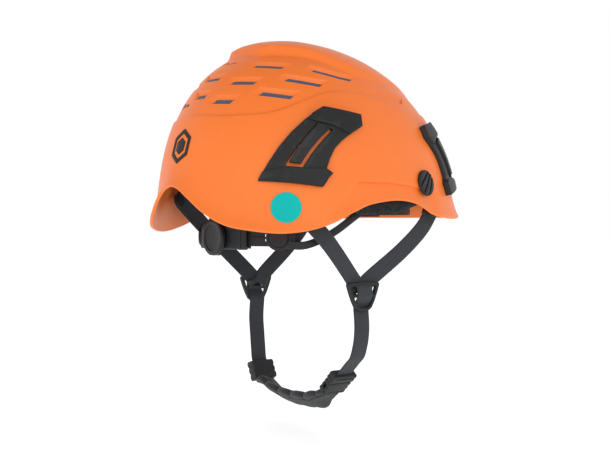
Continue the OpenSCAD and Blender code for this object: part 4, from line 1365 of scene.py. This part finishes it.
def build_nape():
    arc = math.radians(HOUSING_A) * HOUSING_OUT
    half = HOUSING_H / 2
    block = rounded(rect(-arc, arc, -half, half), 1.5)
    tab = rounded(rect(-math.radians(9) * 81, math.radians(3) * 81, -half - 6, half + 7), 1.5)
    verts, faces = bent_slab([block], CAVITY_IN - HOUSING_OUT, 0, HOUSING_OUT)
    housing = closed_mesh("dial_housing", verts, faces, BLACK)
    cavity = bent_slab([np.array(rect(-arc - 6, arc + 6, -half + 1.6, half - 1.6))], -12,
                       CAVITY_OUT - HOUSING_OUT, HOUSING_OUT, 0.05)
    carve(housing, closed_mesh("cutter", *cavity, BLACK))
    carve(housing, closed_mesh("cutter", *bent_slab([tab], CAVITY_OUT + 0.2 - HOUSING_OUT, 0.2,
                                                    HOUSING_OUT), BLACK), "UNION")
    bore = radial_lathe([(0, -10), (2.6, -10), (2.6, 4), (0, 4)], 0, HOUSING_OUT, 0, 32)
    carve(housing, closed_mesh("cutter", *bore, BLACK))
    for x in (arc - 5.2, -arc + 4.4):
        rib = bent_slab([np.array(rect(x, x + 0.8, -half - 1, half + 1))], -0.5, 2, HOUSING_OUT, 0.05)
        carve(housing, closed_mesh("cutter", *rib, BLACK))
    smooth_by_angle(housing, 35)
    place(housing, "nape_frame", "plastic_black", "adjuster_housing")

    knob = radial_lathe([(0, 0), (14.2, 0), (14.9, 0.5), (15.0, 1.2), (15.0, 2.8), (14.8, 3.5), (14.2, 4.0),
                         (11.4, 4.0), (11.0, 3.7), (10.8, 3.2), (10.4, 3.1), (3, 3.0), (0, 3.0)], 0,
                        HOUSING_OUT + 0.6, 0, 240, lambda t: 0.10 * (0.5 + 0.5 * np.cos(40 * t)) ** 2)
    knob = closed_mesh("fit_dial", *knob, BLACK_SMOOTH, True)
    smooth_by_angle(knob, 40)
    place(knob, "dial", "plastic_black", "dial_knob")

    for side, name in SIDES:
        inner_layer = 75.7 if side == RIGHT else 78.0
        lift = 1.0 if side == RIGHT else 0.3
        r = inner_layer + 0.8
        rail = rounded(rect(math.radians(25) * r, math.radians(39) * r, -0.8, 0.8), 0.5)
        rib = bent_slab([rail], -0.2, lift, r, 0.2)
        obj = closed_mesh(f"rack_rib_{name}", mirrored(rib[0], side), rib[1], BLACK)
        smooth_by_angle(obj, 40)
        place(obj, f"rack_{name}", "plastic_black")

        mid = 77.2 + 1.6 + 0.4 + ARM_T / 2
        disc = nape(DISC_A, PLATE_R + ARM_T / 2, 0)
        path = [(-mid, -19, 10), (-mid, -12, 5.5), (-mid + 0.6, -2, -1), (-mid + 2.2, 12, -10),
                (-mid + 5.4, 26, -17.5), (-mid + 10.4, 39, -22.0), (disc[0] - 5, disc[1] - 5.5, -21.5)]
        arm = sweep(f"arm_bar_{name}", path, [(0, 0.45, 0.9)] * 7, [9, 6.5, 6.3, 6.2, 6.2, 6.4, 7.5],
                    ARM_T, side, BLACK)
        place(arm, "nape_frame", "plastic_black", f"side_arm_{name}")
        plate = radial_lathe([(0, 0), (10.2, 0), (10.5, 0.3), (10.5, 1.4), (10.1, 1.8), (8.1, 1.8),
                              (8.0, 1.5), (7.7, 1.5), (7.6, 1.8), (0, 1.8)], DISC_A, PLATE_R, 0)
        plate = closed_mesh(f"arm_disc_{name}", mirrored(plate[0], side), plate[1], BLACK, True)
        smooth_by_angle(plate, 35)
        place(plate, "nape_frame", "plastic_black")
        boss, faces = lathe([(0, 0), (6.7, 0), (7.0, 0.3), (7.0, 1.4), (6.6, 1.8), (3.0, 1.8), (0, 1.8)], 48)
        x = -mid - ARM_T / 2
        pts = np.stack([x + ARM_T - boss[:, 2], -22 + boss[:, 0], 11 + boss[:, 1]], -1)
        boss = closed_mesh(f"arm_boss_{name}", mirrored(pts, side), faces, BLACK, True)
        smooth_by_angle(boss, 35)
        place(boss, "nape_frame", "plastic_black")


# ------------------------------------------------------------------ pads
def inflate(obj, voxel, pressure, cap, frames=20):
    """Blows a closed pad up a little as cloth, then keeps each point within cap of its start."""
    remesh = obj.modifiers.new("remesh", "REMESH")
    remesh.mode, remesh.voxel_size = "VOXEL", voxel * MM
    apply_modifiers(obj)
    before = np.array([v.co[:] for v in obj.data.vertices])
    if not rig.quick():
        scene = bpy.context.scene
        cloth = obj.modifiers.new("cloth", "CLOTH")
        cloth.settings.quality = 6
        cloth.settings.mass = 0.2
        cloth.settings.tension_stiffness = 25
        cloth.settings.compression_stiffness = 25
        cloth.settings.bending_stiffness = 1.5
        cloth.settings.use_pressure = True
        cloth.settings.uniform_pressure_force = pressure
        cloth.settings.effector_weights.gravity = 0
        cloth.point_cache.frame_start, cloth.point_cache.frame_end = 1, frames
        for frame_number in range(1, frames + 1):
            scene.frame_set(frame_number)
        apply_modifiers(obj)
        scene.frame_set(1)
    after = np.array([v.co[:] for v in obj.data.vertices])
    move = after - before
    far = np.linalg.norm(move, axis=1, keepdims=True)
    move *= np.minimum(1, cap * MM / np.maximum(far, 1e-9))
    obj.data.vertices.foreach_set("co", (before + move).ravel())
    subsurf = obj.modifiers.new("soft", "SUBSURF")
    subsurf.levels = subsurf.render_levels = 1
    apply_modifiers(obj)
    obj.data.shade_smooth()
    return obj


def press_seams(obj, depth_at):
    """Moves points inward along their normals by depth_at(points in millimetres)."""
    pts = np.array([v.co[:] for v in obj.data.vertices]) / MM
    normals = np.array([v.normal[:] for v in obj.data.vertices])
    pts -= normals * depth_at(pts)[:, None]
    obj.data.vertices.foreach_set("co", (pts * MM).ravel())
    obj.data.update()


def groove(distance, width):
    """1 on a seam, falling to 0 at width from it."""
    return np.exp(-(distance / width) ** 2)


BAND_W, BAND_L, BAND_CY, BAND_Z, BAND_H = 78, 95, -19, 2.5, 28
SWEAT_T, NAPE_PAD_T = 4, 4


def oval(a, grow, z):
    t = np.radians(a)
    return np.stack([(BAND_W + grow) * np.sin(t), BAND_CY - (BAND_L + grow) * np.cos(t),
                     np.broadcast_to(z, np.shape(t))], -1)


def build_pads():
    # brow sweatband: a stuffed strip along the inside of the headband
    rings, count = [], 24
    for a in np.linspace(-57, 57, 90):
        end = ease((57 - abs(a)) / 5)
        row = []
        for t in np.arange(count) * 2 * np.pi / count:
            c, s = math.cos(t), math.sin(t)
            r = (SWEAT_T / 2 - 0.3) * np.sign(c) * abs(c) ** 0.6 * (0.55 + 0.45 * end)
            z = (BAND_H / 2 + 0.3) * np.sign(s) * abs(s) ** 0.6 * (0.86 + 0.14 * end)
            row.append(oval(a, -SWEAT_T / 2 - 0.35 + r, BAND_Z + BAND_H / 2 + z))
        rings.append(row)
    n = len(rings)
    faces = ring_faces(n, count) + [tuple(range(count))[::-1], tuple(range((n - 1) * count, n * count))]
    sweat = closed_mesh("brow_pad", np.array(rings).reshape(-1, 3), faces, PAD)
    inflate(sweat, 2.2, 1.5, 0.6)

    def sweat_seams(p):
        a = np.degrees(np.arctan2(p[:, 0] / BAND_W, -(p[:, 1] - BAND_CY) / BAND_L))
        across = np.abs((a + 9.5) % 19 - 9.5)
        rows = np.minimum(np.abs(p[:, 2] - BAND_Z - 2.5), np.abs(p[:, 2] - BAND_Z - BAND_H + 2.5))
        return 0.9 * groove(across, 0.7) + 0.5 * groove(rows, 0.6)
    press_seams(sweat, sweat_seams)
    place(sweat, "shell", "comfort_pad", "sweatband")
    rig.padded(sweat, fill=0.6)

    # nape pad on the housing's cover
    arc = math.radians(HOUSING_A - 1.6) * 70
    base = CAVITY_IN - 1.8
    verts, faces = slab([rounded(rect(-arc, arc, -HOUSING_H / 2 - 1.6, HOUSING_H / 2 + 3.6), 4, 6)], 0.3,
                        NAPE_PAD_T - 0.2, 1.4, 3)
    verts[:, 2] = -verts[:, 2]
    pad = closed_mesh("nape_cushion", bent(verts, base), faces, PAD)
    inflate(pad, 2.0, 1.5, 0.5)

    def nape_seams(p):
        arc_at = 70 * np.arctan2(-p[:, 0], p[:, 1] - RACK_CY)
        return 0.8 * groove(np.abs((arc_at + 7) % 14 - 7), 0.8)
    press_seams(pad, nape_seams)
    place(pad, "nape_frame", "comfort_pad", "nape_pad")
    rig.padded(pad, fill=0.6)

    # crown pad: quilted round pad under the top of the liner
    rows, spokes = 14, 72
    top, low = LINER_IN - 1.3, LINER_IN - 6.2
    z_edge = HEIGHT + LINER_IN - 18
    a = np.arange(spokes) * 360.0 / spokes
    layers = []
    for off in (top, low):
        rise = HEIGHT + off
        layers.append([shell_pt(a, z_edge + (rise - z_edge) * math.sin(math.pi / 2 * i / rows) ** 0.9, off,
                                False, False) for i in range(rows)])
    rim = (layers[0][0] + layers[1][0]) / 2
    rim[:, :2] *= 1.02
    rings = np.array(layers[0][::-1] + [rim] + layers[1])
    m = len(rings)
    poles = [np.array([0, 0, HEIGHT + top]), np.array([0, 0, HEIGHT + low])]
    verts = list(rings.reshape(-1, 3)) + poles
    faces = ring_faces(m, spokes)
    for j in range(spokes):
        k = (j + 1) % spokes
        faces += [(k, j, spokes * m), (spokes * (m - 1) + j, spokes * (m - 1) + k, spokes * m + 1)]
    crown = closed_mesh("crown_cushion", verts, faces, PAD)
    inflate(crown, 3.0, 1.5, 0.5)

    def crown_seams(p):
        bearing = np.degrees(np.arctan2(p[:, 0], -p[:, 1]))
        radius = np.hypot(p[:, 0], p[:, 1])
        spoke = np.abs((bearing + 30) % 60 - 30) * np.pi / 180 * radius
        return 1.0 * groove(np.where(radius > 14, spoke, 9), 1.2) + 1.0 * groove(np.abs(radius - 14), 1.2)
    press_seams(crown, crown_seams)
    place(crown, "shell", "comfort_pad", "crown_pad")
    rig.padded(crown, fill=0.6)


# ------------------------------------------------------------------ strap anchors
def build_anchors():
    """Moulded plates that hold the straps inside the shell."""
    for side, name in SIDES:
        for where, top, way, a, z in (("rear", REAR_TOP_PT, REAR_DIR, -124, 17),
                                      ("front", FRONT_TOP_PT, FRONT_DIR, -59, 3)):
            n = shell_normal(a, z)
            along = unit(np.array(way, float))
            across = unit(np.cross(along, n))
            outline = rounded([(-10, -2.5), (10, -2.5), (10, 3), (5, 8), (-5, 8), (-10, 3)], 1.5)
            verts, faces = slab([outline], -1.2, 1.2, 0.5, None)
            pts = np.array(top) + verts[:, :1] * across + verts[:, 1:2] * along + verts[:, 2:] * n
            plate = closed_mesh(f"anchor_{where}_{name}", mirrored(pts, side), faces, BLACK)
            smooth_by_angle(plate, 40)
            place(plate, "shell", "plastic_black", *(("strap_anchors",) if where == "rear" else ()))
            post, faces = lathe([(0, 1), (3.4, 1), (3.4, 5.9), (3.2, 6.2), (0, 6.2)], 24)
            pts = np.array(top) + post[:, :1] * across + post[:, 1:2] * along + post[:, 2:] * n
            peg = closed_mesh(f"anchor_post_{where}_{name}", mirrored(pts, side), faces, BLACK, True)
            smooth_by_angle(peg, 40)
            place(peg, "shell", "plastic_black")


# ------------------------------------------------------------------ build
build_shell()
build_vent_nets()
build_clips()
build_marks()
build_inside()
build_straps()
build_dividers()
build_chin_webs()
build_chin_pad()
build_buckles()
build_nape()
build_pads()
build_anchors()

FINISHES = {"temple_pins": (STEEL, "steel"), "pinion": (STEEL, "steel")}
for name, node in frame["nodes"].items():
    finish, slot = FINISHES.get(name, (BLACK, "plastic_black"))
    if not node.data.materials:
        node.data.materials.append(finish)
    for place_in in node.material_slots:
        place_in.material = finish
    if not node.hide_render:
        edge = node.modifiers.new("edge", "BEVEL")
        edge.width, edge.segments, edge.angle_limit = 0.25 * MM, 2, math.radians(35)
        edge.limit_method = "ANGLE"
        node.modifiers.new("normals", "WEIGHTED_NORMAL")
        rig.slot(node, slot)

size = {"cad": [list(c) for c in cad_box], "visual": [list(c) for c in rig.bounds()]}
with open("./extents.json", "w") as handle:
    json.dump(size, handle, indent=1)
